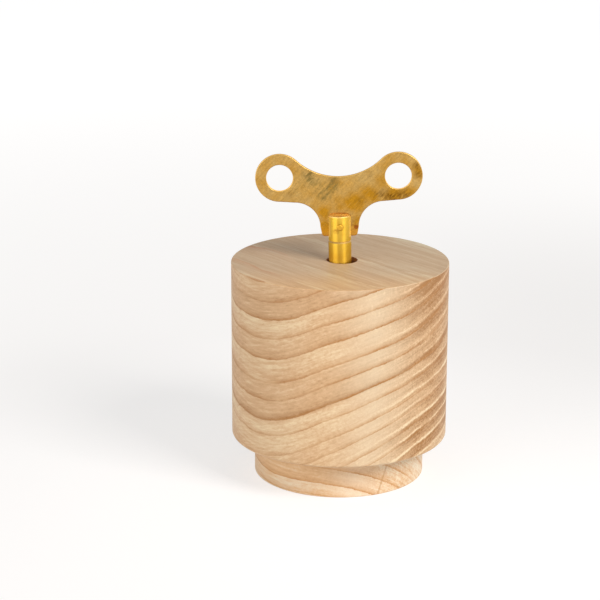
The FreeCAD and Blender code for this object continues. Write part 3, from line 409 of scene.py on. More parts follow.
def worn_metal():
    """Colour, roughness and height of metal that has been cut, handled and left to dull."""
    inlets = {
        "Place": (0, 0, 0), "Brush": (1, 1, 1), "Bright": WHITE, "Warm": WHITE, "Dull": WHITE,
        "Cloud Scale": 0.1, "Dulling": 0.3, "Stain": 0.0, "Warmth": 0.0, "Scratches": 0.3, "Smooth": 0.25,
        "Rough": 0.5, "Rim": 0.0,
    }
    outlets = {"Color": "Color", "Roughness": "Float", "Height": "Float"}
    loom, given = new_group("worn_metal", "ShaderNodeTree", inlets, outlets)
    place, rim = given["Place"], given["Rim"]
    cloud = place.cloud(given["Cloud Scale"], 5, 0.62)
    other = place.arrow("ADD", (41, 17, 5)).cloud(given["Cloud Scale"], 3, 0.5)
    speck = place.cloud(1.7, 3, 0.7)
    brushed = place.cloud(1, 3, 0.6, given["Brush"])
    # dull patches grow where the clouds and the stain are thick
    thick = cloud + speck * 0.35 + given["Stain"] + (brushed * 0.3 - 0.35)
    dull = thick.spread(0.95 - given["Dulling"], 1.15) * (1 - rim)
    colour = (other + given["Warmth"]).spread(0.4, 0.9).blend(given["Bright"], given["Warm"])
    colour = dull.blend(colour, given["Dull"])
    scratch = abs(brushed - 0.5).spread(0, 0.03, 1, 0) * given["Scratches"]
    colour = (scratch * 0.35).blend(colour, given["Dull"])
    worn = brushed.spread(0.56, 0.66) * other.spread(0.4, 0.6)
    colour = (worn * given["Scratches"]).blend(colour, given["Bright"])
    # painted highlight: the rim is painted brighter
    colour = (rim * 0.6).blend(colour, given["Bright"])
    rough = dull.spread(0, 1, given["Smooth"], given["Rough"])
    rough = (brushed - 0.5).sum("MULTIPLY_ADD", 0.25, rough, clamp=True)
    results = {
        "Color": colour,
        "Roughness": rough + rim * (0.8 - rough),
        "Height": (brushed * 0.5 - scratch * 0.6 + speck * 0.2) * (1 - rim),
    }
    loom.put("NodeGroupOutput", results)
    return loom.tree


RINGS = growth_rings()
TIMBER = turned_timber()
METAL = worn_metal()


def empty_material(name):
    """A material with nothing in it, and its loom."""
    made = bpy.data.materials.new(name)
    made.use_nodes = True
    made.node_tree.nodes.clear()
    return made, Loom(made.node_tree)


def shaded_material(name):
    """A material with its shader, as (material, loom, shader)."""
    made, loom = empty_material(name)
    shader = loom.put("ShaderNodeBsdfPrincipled")
    loom.put("ShaderNodeOutputMaterial", {"Surface": shader.outputs[0]})
    return made, loom, shader


def surface(loom, shader, colour, roughness, height, bump):
    """Feeds the shader. Bump is how high a height of 1 stands, in metres."""
    normal = loom.wire("ShaderNodeBump", {"Strength": 1.0, "Distance": bump, "Height": height})
    loom.feed(shader, {"Base Color": colour, "Roughness": roughness, "Normal": normal})


def compass(angle):
    """A level direction, in degrees from +X towards +Y."""
    return (cos(radians(angle)), sin(radians(angle)), 0)


def key_hole_side(loom, colour, dark, upward, flat, top_sheen_tint):
    """The drum's colour with a painted sheen greying its top, and its key hole."""
    # painted reflection: the top is greyed as a grazing sheen of the pale room would grey it, less so at the
    # front
    own = loom.millimetres()
    across, depth, _ = own.split()
    top_sheen = depth.spread(-42, -10, smooth=True).blend(tint(250, 245, 230), tint(*top_sheen_tint))
    colour = upward.spread(0.6, 0.95).blend(colour, top_sheen, "MULTIPLY")
    # near its left rim the dark lines show again
    rimward = across.spread(-12, -32, 0, 0.9) * flat
    colour = (rimward * dark).blend(colour, tint(180, 122, 72))
    # the wall of the key hole is scorched by the drill
    off_axis = own.arrow("SUBTRACT", (*KEY_HOLE_PLACE, 0)).arrow("MULTIPLY", (1, 1, 0))
    off_axis = off_axis.arrow("LENGTH")
    scorched = off_axis.spread(KEY_HOLE_RADIUS + 0.02, KEY_HOLE_RADIUS + 0.3, 0.75, 0)
    return scorched.blend(colour, tint(128, 64, 18))


def crossing_line(loom, colour, crossing):
    """The foot's colour with one pale orange line that crosses the rings on the right of its front."""
    across, depth, height = loom.millimetres().split()
    line = abs(across - height * 0.31 - 16).spread(0.15, 0.65, 0.6, 0)
    line *= depth.sum("LESS_THAN", 0) * height.spread(11, 13.5, 1, 0)
    return line.blend(colour, tint(*crossing))


WOOD_TONES = ("Pale", "Tan", "Brown", "Bleached", "Line")


def wood(name, fibres, end_faces, rings, timber, tones, top_sheen_tint=None, crossing=None):
    """Bare turned wood. Fibres is the way that the log lies, and end faces the ways that its cut ends look.
    A top sheen tint greys the drum's top as a painted sheen, and crossing is the colour of the foot's odd
    line."""
    made, loom, shader = shaded_material(name)
    place = loom.millimetres((0, 0, -fibres))
    ringed = loom.put("ShaderNodeGroup", node_tree=RINGS)
    loom.feed(ringed, {"Place": place, **rings})
    outward = loom.coordinates("Normal")
    facings = [outward.arrow("DOT_PRODUCT", compass(angle)) for angle in end_faces]
    upward = outward.split()[2]
    flat = abs(upward).spread(0.6, 0.95)
    feeds = {
        "Place": place,
        "Radius": ringed.outputs["Radius"],
        "Number": ringed.outputs["Number"],
        "Facing": facings[0].sum("MAXIMUM", facings[1]),
        "Flat": flat,
        **timber,
        **{label: tint(*tone) for label, tone in zip(WOOD_TONES, tones)},
    }
    grained = loom.put("ShaderNodeGroup", feeds, node_tree=TIMBER)
    colour, roughness, height, dark = grained.outputs
    if top_sheen_tint:
        colour = key_hole_side(loom, colour, dark, upward, flat, top_sheen_tint)
    if crossing:
        colour = crossing_line(loom, colour, crossing)
    surface(loom, shader, colour, roughness, height, WOOD_BUMP)
    loom.feed(shader, {"Sheen Weight": 0.12, "Sheen Roughness": 0.4})
    return made


# Metals: bright, warm and dull colours, brush, then cloud scale, dulling, scratches, smooth and rough
METALS = {
    "key_brass": (
        (196, 158, 92), (184, 130, 32), (138, 116, 62), (0.12, 0.5, 2.2), 0.16, 0.3, 0.35, 0.26, 0.42,
    ),
    "barrel_brass": (
        (246, 216, 118), (236, 190, 60), (176, 128, 38), (0.15, 0.15, 9), 0.2, 0.15, 0.3, 0.32, 0.38,
    ),
    "rivet_brass": ((226, 180, 70), (216, 164, 52), (160, 112, 34), (3, 3, 3), 0.4, 0.2, 0.2, 0.5, 0.55),
    "edge_brass": ((240, 200, 120), (232, 186, 92), (196, 146, 62), (1, 1, 1), 0.4, 0.1, 0.1, 0.55, 0.62),
    "movement_brass": (
        (236, 200, 120), (226, 182, 96), (160, 122, 62), (1, 6, 6), 0.15, 0.2, 0.3, 0.22, 0.45,
    ),
    "plate_metal": (
        (206, 204, 198), (190, 186, 176), (120, 116, 108), (0.3, 4, 1), 0.12, 0.3, 0.4, 0.3, 0.5,
    ),
    "pressed_steel": (
        (208, 208, 210), (192, 192, 196), (130, 130, 134), (0.5, 5, 0.5), 0.15, 0.2, 0.3, 0.25, 0.45,
    ),
    "arbor_steel": (
        (198, 198, 202), (184, 184, 188), (112, 112, 116), (4, 4, 0.5), 0.2, 0.2, 0.2, 0.18, 0.35,
    ),
    "spring_steel": ((96, 112, 150), (84, 92, 118), (60, 62, 74), (0.6, 0.6, 4), 0.3, 0.2, 0.2, 0.2, 0.35),
    "comb_steel": (
        (204, 206, 210), (188, 190, 196), (126, 128, 134), (5, 0.4, 1), 0.15, 0.2, 0.5, 0.22, 0.4,
    ),
    "weight_lead": ((134, 134, 140), (122, 122, 126), (84, 84, 88), (1, 1, 1), 0.5, 0.5, 0.2, 0.45, 0.7),
    "screw_steel": ((196, 196, 200), (178, 178, 182), (110, 110, 114), (3, 3, 3), 0.3, 0.2, 0.3, 0.25, 0.45),
    "fly_metal": ((222, 222, 226), (208, 208, 212), (150, 150, 154), (0.6, 5, 5), 0.2, 0.15, 0.3, 0.25, 0.4),
}
METAL_NUMBERS = ("Cloud Scale", "Dulling", "Scratches", "Smooth", "Rough")


def metal(name, turn=(0, 0, 0)):
    """Worn metal, as (material, loom, shader, group, place in millimetres)."""
    made, loom, shader = shaded_material(name)
    bright, warm, dull, brush, *numbers = METALS[name]
    place = loom.millimetres(turn)
    feeds = {
        "Place": place,
        "Brush": brush,
        "Bright": tint(*bright),
        "Warm": tint(*warm),
        "Dull": tint(*dull),
        **dict(zip(METAL_NUMBERS, numbers)),
    }
    group = loom.put("ShaderNodeGroup", feeds, node_tree=METAL)
    surface(loom, shader, *group.outputs, METAL_BUMP)
    shader.inputs["Metallic"].default_value = 1.0
    return made, loom, shader, group, place


def felt(name, dark, light):
    """Pressed felt: short tangled fibres."""
    made, loom, shader = shaded_material(name)
    place = loom.millimetres()
    tangle = place.cloud(2.2, 6, 0.75)
    swirl = loom.wire("ShaderNodeTexNoise", {"Vector": place, "Scale": 1.5}, 1)
    fibres = place.arrow("ADD", swirl).cloud(1.1, 4, 0.7, (1, 3, 2))
    colour = tangle.spread(0.3, 0.7).blend(tint(*dark), tint(*light))
    surface(loom, shader, colour, fibres.spread(0.2, 0.8, 0.85, 1), tangle + fibres, FELT_BUMP)
    loom.feed(shader, {"Sheen Weight": 0.4, "Sheen Roughness": 0.5})
    return made


# Turned wood, by Geometry Nodes
def by_turn(loom, kind, values):
    """One of several values for each point, by its number."""
    switch = loom.put("GeometryNodeIndexSwitch", data_type=kind)
    while len(switch.index_switch_items) < len(values):
        switch.index_switch_items.new()
    loom.feed(switch, enumerate([loom.wire("GeometryNodeInputIndex"), *values]))
    return switch.outputs[0]


def drilled(loom, given, turned, drills):
    """The turned piece with its drilled holes, one of each kind at each drill place."""
    places = [given["Drill Place %d" % number] for number in (1, 2, 3, 4)]
    dots = loom.wire("GeometryNodePoints", {"Count": 4, "Position": by_turn(loom, "VECTOR", places)})
    for radius, start, end in drills:
        feeds = {"Vertices": 48, "Radius": given[radius], "Depth": given[end] - given[start]}
        bit = loom.wire("GeometryNodeMeshCylinder", feeds)
        lift = loom.join(z=(given[end] + given[start]) * 0.5)
        bit = loom.wire("GeometryNodeTransform", {"Geometry": bit, "Translation": lift})
        bits = loom.wire("GeometryNodeInstanceOnPoints", {"Points": dots, "Instance": bit})
        bits = loom.wire("GeometryNodeRealizeInstances", {0: bits})
        turned = loom.wire("GeometryNodeMeshBoolean", {0: turned, 1: bits}, operation="DIFFERENCE")
    return turned


def turned_tree(name, corners, solid, drills):
    """A piece turned on a lathe. Corners are (radius, height, rounding) by the names of the tree's inputs,
    clockwise as seen from the front. Drills are (radius, start, end) by name, a hole at each drill place."""
    inlets = {label: 0.0 for label in sorted({label for row in [*corners, *drills] for label in row})}
    inlets |= {"Steps Round": 240, "Rounding Steps": 5, "Eccentric": (0, 0, 0)}
    inlets |= {"Drill Place %d" % number: (0, 0, 0) for number in (1, 2, 3, 4)}
    inlets["Finish"] = None
    loom, given = new_group(name, "GeometryNodeTree", inlets, {"Geometry": "Geometry"})
    points = [loom.join(given[radius] - SPINDLE, given[height] * -1.0) for radius, height, _ in corners]
    profile = loom.wire("GeometryNodeCurvePrimitiveCircle", {"Resolution": len(corners)})
    profile = loom.wire("GeometryNodeSetPosition", {0: profile, "Position": by_turn(loom, "VECTOR", points)})
    if solid:
        profile = loom.wire("GeometryNodeSetSplineCyclic", {0: profile, "Cyclic": False})
    rounding = by_turn(loom, "FLOAT", [given[corner[2]] for corner in corners])
    feeds = {"Curve": profile, "Count": given["Rounding Steps"], "Radius": rounding, "Limit Radius": True}
    profile = loom.wire("GeometryNodeFilletCurve", feeds, mode="POLY")
    feeds = {"Resolution": given["Steps Round"], "Radius": SPINDLE}
    path = loom.wire("GeometryNodeCurvePrimitiveCircle", feeds)
    turned = loom.wire("GeometryNodeCurveToMesh", {"Curve": path, "Profile Curve": profile})
    turned = loom.wire("GeometryNodeMergeByDistance", {0: turned, "Distance": WELD})
    # the key hole is drilled beside the middle
    off_axis = loom.wire("GeometryNodeInputPosition").arrow("MULTIPLY", (1, 1, 0))
    off_axis = off_axis.arrow("LENGTH")
    near = loom.wire("FunctionNodeCompare", {0: off_axis, 1: KEY_HOLE_REACH}, operation="LESS_THAN")
    feeds = {0: turned, "Selection": near, "Offset": given["Eccentric"]}
    turned = loom.wire("GeometryNodeSetPosition", feeds)
    if drills:
        turned = drilled(loom, given, turned, drills)
    turned = loom.wire("GeometryNodeRealizeInstances", {0: turned})
    sharp = {0: loom.wire("GeometryNodeInputMeshEdgeAngle"), 1: radians(SHARP_TURN)}
    sharp = loom.wire("FunctionNodeCompare", sharp, operation="GREATER_THAN")
    turned = loom.wire("GeometryNodeSetShadeSmooth", {0: turned, "Shade Smooth": True})
    feeds = {0: turned, "Selection": sharp, "Shade Smooth": False}
    turned = loom.wire("GeometryNodeSetShadeSmooth", feeds, domain="EDGE")
    turned = loom.wire("GeometryNodeSetMaterial", {"Geometry": turned, "Material": given["Finish"]})
    loom.put("NodeGroupOutput", {"Geometry": turned})
    return loom.tree


def placed(name, data):
    """A new object in the scene."""
    piece = bpy.data.objects.new(name, data)
    bpy.context.scene.collection.objects.link(piece)
    return piece


def mesh_of(name, shaper, *finishes):
    """A bmesh as a mesh of its own with its finishes."""
    mesh = bpy.data.meshes.new(name)
    shaper.to_mesh(mesh)
    shaper.free()
    for finish in finishes:
        mesh.materials.append(finish)
    return mesh


def even_shading(piece):
    """Lets flat faces shade flat beside their rounded edges."""
    piece.modifiers.new("evened", "WEIGHTED_NORMAL").keep_sharp = True


def settle(piece):
    """Keeps what a piece's modifiers make of it as a plain mesh."""
    bpy.context.view_layer.update()
    ready = piece.evaluated_get(bpy.context.evaluated_depsgraph_get())
    mesh = bpy.data.meshes.new_from_object(ready)
    piece.modifiers.clear()
    piece.data = mesh


def fitted(piece, body, slot, *nodes):
    """A piece that stands for CAD nodes, which it hides, on their body. The slot is not used."""
    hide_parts(*nodes)
    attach(piece, body)


def turn_piece(name, tree, sizes, drill_places, finish, slot, node):
    """Runs a tree on its sizes in millimetres and fits the piece in a CAD node's place."""
    piece = placed(name, bpy.data.meshes.new(name))
    maker = piece.modifiers.new("maker", "NODES")
    maker.node_group = tree
    for number, place in enumerate(drill_places, 1):
        sizes["Drill Place %d" % number] = place
    for socket in tree.interface.items_tree:
        if socket.in_out == "INPUT" and socket.name in sizes:
            value = sizes[socket.name]
            value = [part * MM for part in (*value, 0.0)] if isinstance(value, tuple) else value * MM
            maker[socket.identifier] = value
        elif socket.name == "Finish":
            maker[socket.identifier] = finish
    even_shading(piece)
    settle(piece)
    fitted(piece, "case", slot, node)


def drum(finish):
    """The drum: top and wall in one, with its key hole, its lap and the pilot holes for the screws."""
    corners = [
        ("Hole Radius", "Top", "Hole Break"), ("Body Radius", "Top", "Top Rounding"),
        ("Body Radius", "Bottom", "Bottom Rounding"), ("Lap Radius", "Bottom", "Small Break"),
        ("Lap Radius", "Lap Top", "Sharp"), ("Bore Radius", "Lap Top", "Small Break"),
        ("Bore Radius", "Ceiling", "Sharp"), ("Hole Radius", "Ceiling", "Small Break"),
    ]
    sizes = {
        "Hole Radius": KEY_HOLE_RADIUS, "Body Radius": 45, "Lap Radius": 42, "Bore Radius": 40, "Top": TOP,
        "Bottom": FOOT_TOP, "Lap Top": 22.3, "Ceiling": CEILING, "Hole Break": 0.18, "Top Rounding": 0.4,
        "Bottom Rounding": 1.3, "Small Break": 0.15, "Sharp": 0, "Eccentric": KEY_HOLE_PLACE,
        "Pilot Radius": 1.2, "Pilot Start": CEILING - 1, "Pilot End": CEILING + 5.5,
    }
    tree = turned_tree("turned_drum", corners, False, [("Pilot Radius", "Pilot Start", "Pilot End")])
    turn_piece("turned_drum", tree, sizes, WOOD_SCREW_PLACES, finish, "drum_wood", "body_shell")


def foot(finish):
    """The foot: a turned disc with a felt recess and four screw holes under it."""
    corners = [
        ("Axis", "Top", "Sharp"), ("Foot Radius", "Top", "Rounding"), ("Foot Radius", "Bottom", "Rounding"),
        ("Felt Radius", "Bottom", "Small Break"), ("Felt Radius", "Recess", "Sharp"),
        ("Axis", "Recess", "Sharp"),
    ]
    drills = [("Head Hole", "Drill Start", "Head End"), ("Shank Hole", "Drill Start", "Drill End")]
    sizes = {
        "Axis": 0, "Foot Radius": 35.5, "Felt Radius": 30, "Top": FOOT_TOP, "Bottom": 0, "Recess": 1,
        "Rounding": 0.5, "Small Break": 0.12, "Sharp": 0, "Head Hole": 3.6, "Head End": 8,
        "Shank Hole": 1.75, "Drill Start": -1, "Drill End": FOOT_TOP + 1,
    }
    tree = turned_tree("turned_foot", corners, True, drills)
    reach = FOOT_SCREW_CIRCLE * sqrt(0.5)
    places = [(x * reach, y * reach) for x, y in ((1, 1), (-1, 1), (-1, -1), (1, -1))]
    turn_piece("turned_foot", tree, sizes, places, finish, "foot_wood", "foot")


# Wing key
def arc(centre, radius, start, end, steps):
    """Points on an arc between two angles in degrees, both ends kept."""
    made = []
    for step in range(steps + 1):
        angle = radians(start + (end - start) * step / steps)
        made.append((centre[0] + radius * cos(angle), centre[1] + radius * sin(angle)))
    return made


def circle(centre, radius, steps):
    """A closed loop of points, clockwise."""
    return arc(centre, radius, 360, 0, steps)[:-1]


def wing_outline():
    """The plate's outline, anticlockwise from the middle of the hollow, heights from the wooden top."""
    ear_x, ear_z = EAR_PLACE
    gap = WING_LOW_POINT - ear_z
    hollow = (ear_x**2 + gap**2 - EAR_RADIUS**2) / (2 * (EAR_RADIUS - gap))
    hollow_z = WING_LOW_POINT + hollow
    # the angle, seen from the hollow's centre, at which it meets the right ear
    meet = degrees(atan2(ear_z - hollow_z, ear_x))
    fillet = (FILLET_SIDE + FILLET_RADIUS, FILLET_TOP - FILLET_RADIUS)
    corner = (TAB_HALF_WIDTH - TAB_CORNER, TAB_BOTTOM + TAB_CORNER)
    right = arc((0, hollow_z), hollow, -90, meet, 24)
    right += arc((ear_x, ear_z), EAR_RADIUS, meet + 180, -90, 64)[1:]
    right += arc(fillet, FILLET_RADIUS, 90, 180, 24)
    right += arc(corner, TAB_CORNER, 0, -90, 8)
    left = [(-x, z) for x, z in reversed(right[1:])]
    return list(reversed(right + left))


def inset(loop, depth):
    """A closed loop moved to its left by a small depth."""
    made = []
    for index, (x, z) in enumerate(loop):
        back = loop[index - 1]
        ahead = loop[(index + 1) % len(loop)]
        run = Vector((ahead[0] - back[0], ahead[1] - back[1])).normalized()
        made.append((x - run.y * depth, z + run.x * depth))
    return made


def wing_shape():
    """The stamped plate in millimetres: two ears with finger holes, soft rims, a rivet hole and a dimple."""
    shaper = bmesh.new()
    rim_layer = shaper.verts.layers.float.new("rim")
    cut_layer = shaper.verts.layers.float.new("cut")
    half = WING_THICKNESS / 2
    outline = wing_outline()
    loops = [(outline, WING_EDGE)]
    for side in (-1, 1):
        loops.append((circle((side * EAR_PLACE[0], EAR_PLACE[1]), EAR_HOLE_RADIUS, 96), WING_EDGE))
    loops.append((circle((0, RIVET_HEIGHT), RIVET_RADIUS, 40), RIVET_HOLE_EDGE))
    steps = 4
    faces = {-1: [], 1: []}

    def ring(loop, y, rim, cut=0.0):
        made = []
        for x, z in loop:
            vertex = shaper.verts.new((x, y, z))
            vertex[rim_layer] = rim
            vertex[cut_layer] = cut
            made.append(vertex)
        return made

    def skirts(rings):
        for near, far in zip(rings, rings[1:]):
            for index in range(len(near)):
                ahead = (index + 1) % len(near)
                shaper.faces.new((near[index], near[ahead], far[ahead], far[index]))

    for loop, edge in loops:
        rings = []
        for side in (-1, 1):
            turns = range(steps + 1) if side < 0 else range(steps, -1, -1)
            for step in turns:
                angle = pi / 2 * step / steps
                inward = edge * (1 - sin(angle))
                y = side * (half - edge * (1 - cos(angle)))
                cut = float(loop is outline and step == steps)
                rings.append(ring(inset(loop, inward), y, step / steps, cut))
        skirts(rings)
        faces[-1].append(rings[0])
        faces[1].append(rings[-1])
    # the dimple on the front, a shallow cone of (radius, depth)
    dimple = []
    for radius, depth in ((0.85, 0.0), (0.7, 0.03), (0.4, 0.04)):
        dimple.append(ring(circle(DIMPLE_PLACE, radius, 32), depth - half, 0.0))
    skirts(dimple)
    shaper.faces.new(dimple[-1])
    faces[-1].append(dimple[0])
    for bounds in faces.values():
        flat = [vertex for bound in bounds for vertex in bound]
        for corners in tessellate_polygon([[vertex.co for vertex in bound] for bound in bounds]):
            shaper.faces.new([flat[number] for number in corners])
    bmesh.ops.recalc_face_normals(shaper, faces=shaper.faces)
    return shaper


def wing_plate(finish):
    """The plate in its place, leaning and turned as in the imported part."""
    mesh = mesh_of("stamped_wing", wing_shape(), finish)
    stand = Matrix.Rotation(radians(KEY_TURN), 4, "Z")
    pivot = Matrix.Translation((0, 0, KEY_PIVOT))
    lean = pivot @ Matrix.Rotation(radians(-KEY_LEAN), 4, "Y") @ pivot.inverted()
    mesh.transform(Matrix.Scale(MM, 4) @ stand @ lean @ Matrix.Translation((0, 0, TOP)))
    for face in mesh.polygons:
        face.use_smooth = True
    mesh.set_sharp_from_angle(angle=radians(40))
    piece = placed("stamped_wing", mesh)
    even_shading(piece)
    fitted(piece, "winding", "key_brass", "key_wing")


# Marks on the key's plate, each (across, height, reach, depth) in millimetres on the part
AMBER_PATCHES = (
    (16.7, 124, 5, 0.4), (11.8, 119, 5.5, 0.45), (6, 115.4, 5.5, 0.5), (-0.5, 113.6, 5, 0.4),
    (-6.2, 111.5, 4.5, 0.5), (-6.4, 105.5, 4.5, 0.45), (6.8, 107, 5, 0.35), (22, 118.8, 6, 0.4),
    (28.5, 120.5, 5, 0.4), (31.5, 129.5, 5, 0.4),
)
OLIVE_PATCHES = (
    (-13.4, 127.6, 4.5, 0.6), (-10.6, 125.4, 5.5, 0.55), (-17, 124, 5.5, 0.4), (-1.6, 124.3, 4.5, 0.55),
    (-5, 123, 5, 0.5), (-5.5, 120, 6, 0.45), (-19.5, 118.8, 5, 0.45), (-11, 121, 7, 0.35), (-7, 117, 5, 0.3),
    (8, 124.8, 6.5, 0.45), (13.5, 127.5, 5.5, 0.4),
)
BROWN_PATCHES = (
    (31, 131, 3, 1.1), (31.8, 127.6, 3, 1), (14.5, 119.3, 4, 0.6), (18, 118.7, 4, 1), (22, 118, 4.4, 1.3),
    (26.4, 119, 4.4, 1.2), (8.5, 116.4, 3.6, 0.5), (-3, 125, 3.4, 0.5), (-13.2, 127.6, 3.4, 0.4),
    (-20.8, 118.6, 3, 0.4), (11.5, 127, 3.4, 0.35), (-6.6, 101.6, 2.6, 0.5),
)


def patches(own, marks):
    """Soft round patches at their places, added up."""
    total = 0.0
    for across, height, reach, depth in marks:
        away = own.arrow("DISTANCE", (across, 0, height))
        total += away.spread(0, reach, depth, 0, True)
    return total


def key_brass():
    """Worn golden brass plate: amber, olive and brown patches, and scratches that run down to the left."""
    finish, loom, shader, group, slanted = metal("key_brass", (0, 48, 0))
    own = loom.millimetres().arrow("MULTIPLY", (1, 0, 1))
    rim, cut = (loom.wire("ShaderNodeAttribute", (), "Fac", attribute_name=mark) for mark in ("rim", "cut"))
    cloudy = slanted.cloud(0.6, 5, 0.7, (0.4, 1, 1.3)).spread(0.36, 0.64, 0.1, 1)
    marks = {
        "Warmth": patches(own, AMBER_PATCHES),
        "Stain": patches(own, OLIVE_PATCHES) * cloudy,
        "Rim": rim,
    }
    loom.feed(group, marks)
    # brown tarnish breaks up along the scratches
    broken = slanted.cloud(0.9, 4, 0.7, (0.5, 1, 1.5)).spread(0.34, 0.66, 0, 0.85)
    tarnish = patches(own, BROWN_PATCHES) * broken
    tarnish = tarnish.sum("MULTIPLY", 1 - rim * 0.9, clamp=True)
    grain = own.cloud(1.1, 5, 0.75).spread(0.3, 0.7, 0.76, 1.2)
    grain *= slanted.cloud(0.7, 4, 0.7, (0.2, 1, 1.5)).spread(0.3, 0.7, 0.87, 1.12)
    mottled = loom.join(grain, grain, grain).arrow("MULTIPLY", group.outputs["Color"])
    colour = tarnish.blend(mottled, tint(104, 68, 20))
    # painted reflection: the tabs are brighter and more orange, and the cut edge has darkened
    height = own.split()[2]
    colour = height.spread(TOP + 15.5, TOP + 12.5, 0, 0.55).blend(colour, tint(224, 158, 42))
    # painted highlight along the rounded rim
    colour = (rim * 0.8).blend(colour, tint(246, 206, 122))
    colour = (cut * 0.7).blend(colour, tint(148, 104, 44))
    # painted shade: the punched dimple is coloured darker and redder, as shade in a deep hollow would look
    dimple_shade = own.arrow("DISTANCE", (DIMPLE_PLACE[0], 0, TOP + DIMPLE_PLACE[1]))
    dimple_shade = dimple_shade.spread(0.7, 1.05, 0.9, 0)
    colour = dimple_shade.blend(colour, tint(150, 84, 32))
    roughness = dimple_shade * 0.3 + group.outputs["Roughness"]
    loom.feed(shader, {"Base Color": colour, "Roughness": roughness})
    return finish


def merged_copy(node):
    """A CAD node's shape in a bmesh of its own, with its loose triangles merged into whole faces."""
    shaper = bmesh.new()
    shaper.from_mesh(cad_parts[node].data)
    bmesh.ops.remove_doubles(shaper, verts=shaper.verts, dist=0.000001)
    bmesh.ops.dissolve_limit(shaper, angle_limit=radians(0.5), verts=shaper.verts, edges=shaper.edges)
    return shaper


def leaf_spring(finish):
    """The click's spring, cut across at even steps."""
    shaper = merged_copy("click_spring")
    foot = Vector((*CLICK_SPRING_FOOT, 0)) * MM
    reach = max((vertex.co - foot for vertex in shaper.verts), key=lambda away: away.xy.length)
    reach.z = 0
    across = reach.normalized()
    for step in range(1, SPRING_CUTS):
        everything = shaper.verts[:] + shaper.edges[:] + shaper.faces[:]
        place = foot + reach * step / SPRING_CUTS
        bmesh.ops.bisect_plane(shaper, geom=everything, plane_co=place, plane_no=across)
    piece = placed("leaf_spring", mesh_of("leaf_spring", shaper, finish))
    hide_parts("click_spring")
    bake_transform(piece)


def slit_barrel(finish, edge_finish):
    """The barrel as it is in the part, with its sharp edges broken on the lathe."""
    shaper = merged_copy("key_barrel")
    weights = shaper.edges.layers.float.new("bevel_weight_edge")
    for edge in shaper.edges:
        if edge.calc_face_angle(0.0) > radians(SHARP_TURN):
            middle = (edge.verts[0].co + edge.verts[1].co) / 2 / MM
            if hypot(middle.x, middle.z - TOP - RIVET_HEIGHT) < 1.5:
                edge[weights] = 0.15
            elif middle.z > TOP + TAB_BOTTOM - 1:
                edge[weights] = 1.0
            elif middle.z > TOP + GROOVE_HEIGHT:
                edge[weights] = 0.2
    mesh = mesh_of("slit_barrel", shaper, finish, edge_finish)
    for face in mesh.polygons:
        face.use_smooth = True
    piece = placed("slit_barrel", mesh)
    broken = piece.modifiers.new("broken_edges", "BEVEL")
    broken.width = BROKEN_EDGE * MM
    broken.segments = 2
    broken.limit_method = "WEIGHT"
    broken.use_clamp_overlap = False
    broken.material = 1
    even_shading(piece)
    settle(piece)
    fitted(piece, "winding", "barrel_brass", "key_barrel")


def barrel_brass():
    """Lathe turned brass under an old amber lacquer, with painted highlights beside the slit, a painted
    reflection on its upper end and painted shade in its groove.
    """
    finish, loom, shader, group, place = metal("barrel_brass")
    _, depth, height = place.split()
    # painted highlight: bright strips beside the slit above the tabs, bare of lacquer
    worn = abs(depth).spread(2.3, 3, 1, 0)
    worn *= height.sum("GREATER_THAN", TOP + TAB_BOTTOM)
    colour = worn.blend(group.outputs["Color"], tint(250, 206, 88))
    # painted reflection: the upward end face is tinted a deeper orange and left bare of lacquer
    end = loom.coordinates("Normal").split()[2].spread(0.8, 0.95)
    colour = (end * 0.9).blend(colour, tint(238, 180, 84))
    # a thin dark ring round the rivet, and a smudge below it to the left
    front = place.arrow("MULTIPLY", (1, 0, 1))
    off_rivet = front.arrow("DISTANCE", (0, 0, TOP + RIVET_HEIGHT))
    rivet_ring = abs(off_rivet - 1.25).spread(0.05, 0.4, 0.4, 0)
    smudge = front.arrow("DISTANCE", (-1.7, 0, TOP + 13.4))
    smudge = smudge.spread(0, 1.8, 0.9, 0, True)
    smudge *= place.cloud(0.9, 4, 0.7).spread(0.35, 0.6)
    colour = rivet_ring.sum("MAXIMUM", smudge).blend(colour, tint(150, 98, 24))
    # painted shade darkens the groove
    groove_shade = abs(height - (TOP + GROOVE_HEIGHT)).spread(0.36, 0.44, 1, 0)
    colour = (groove_shade * 0.6).blend(colour, tint(160, 106, 34))
    # the painted highlights and the painted groove shade are rougher, less metallic and bare of lacquer
    worn = worn.sum("MAXIMUM", groove_shade)
    feeds = {
        "Base Color": colour,
        "Roughness": worn * 0.2 + group.outputs["Roughness"],
        "Metallic": 1 - worn * 0.7,
        "Coat Weight": 1 - worn.sum("MAXIMUM", end),
        "Coat Roughness": 0.12,
        "Coat IOR": 1.2,
        "Coat Tint": (0.9, 0.78, 0.34, 1),
        "Anisotropic": 0.8,
        "Anisotropic Rotation": 0.25,
    }
    loom.feed(shader, feeds)
    return finish


def stage_floor():
    """A plain pale floor that runs on as the backdrop."""
    mesh = bpy.data.meshes.new("floor")
    mesh.from_pydata([(-6, -4, 0), (6, -4, 0), (6, 8, 0), (-6, 8, 0)], [], [(0, 1, 2, 3)])
    made, loom = empty_material("pale_floor")
    seen = loom.seen()
    own = loom.coordinates("Object")
    away = own.arrow("LENGTH")
    glow = away.spread(0.06, 0.2, 0.645, 0.615, True) + away.spread(0.2, 0.9, 0, 0.23)
    # painted shade: a soft grey dip in the backdrop behind the box on its right
    across, depth, _ = own.split()
    backdrop_shade = abs(depth - 0.25).spread(0, 0.3, 0.085, 0, True)
    glow -= backdrop_shade * across.spread(-0.05, 0.15, smooth=True)
    colour = seen.blend((0.8, 0.79, 0.78, 1), (0.42, 0.405, 0.395, 1))
    matte = loom.wire("ShaderNodeBsdfDiffuse", {"Color": colour})
    lit = loom.wire("ShaderNodeEmission", {"Strength": seen * glow})
    both = loom.wire("ShaderNodeAddShader", {0: matte, 1: lit})
    loom.put("ShaderNodeOutputMaterial", {"Surface": both})
    mesh.materials.append(made)
    floor = placed("floor", mesh)


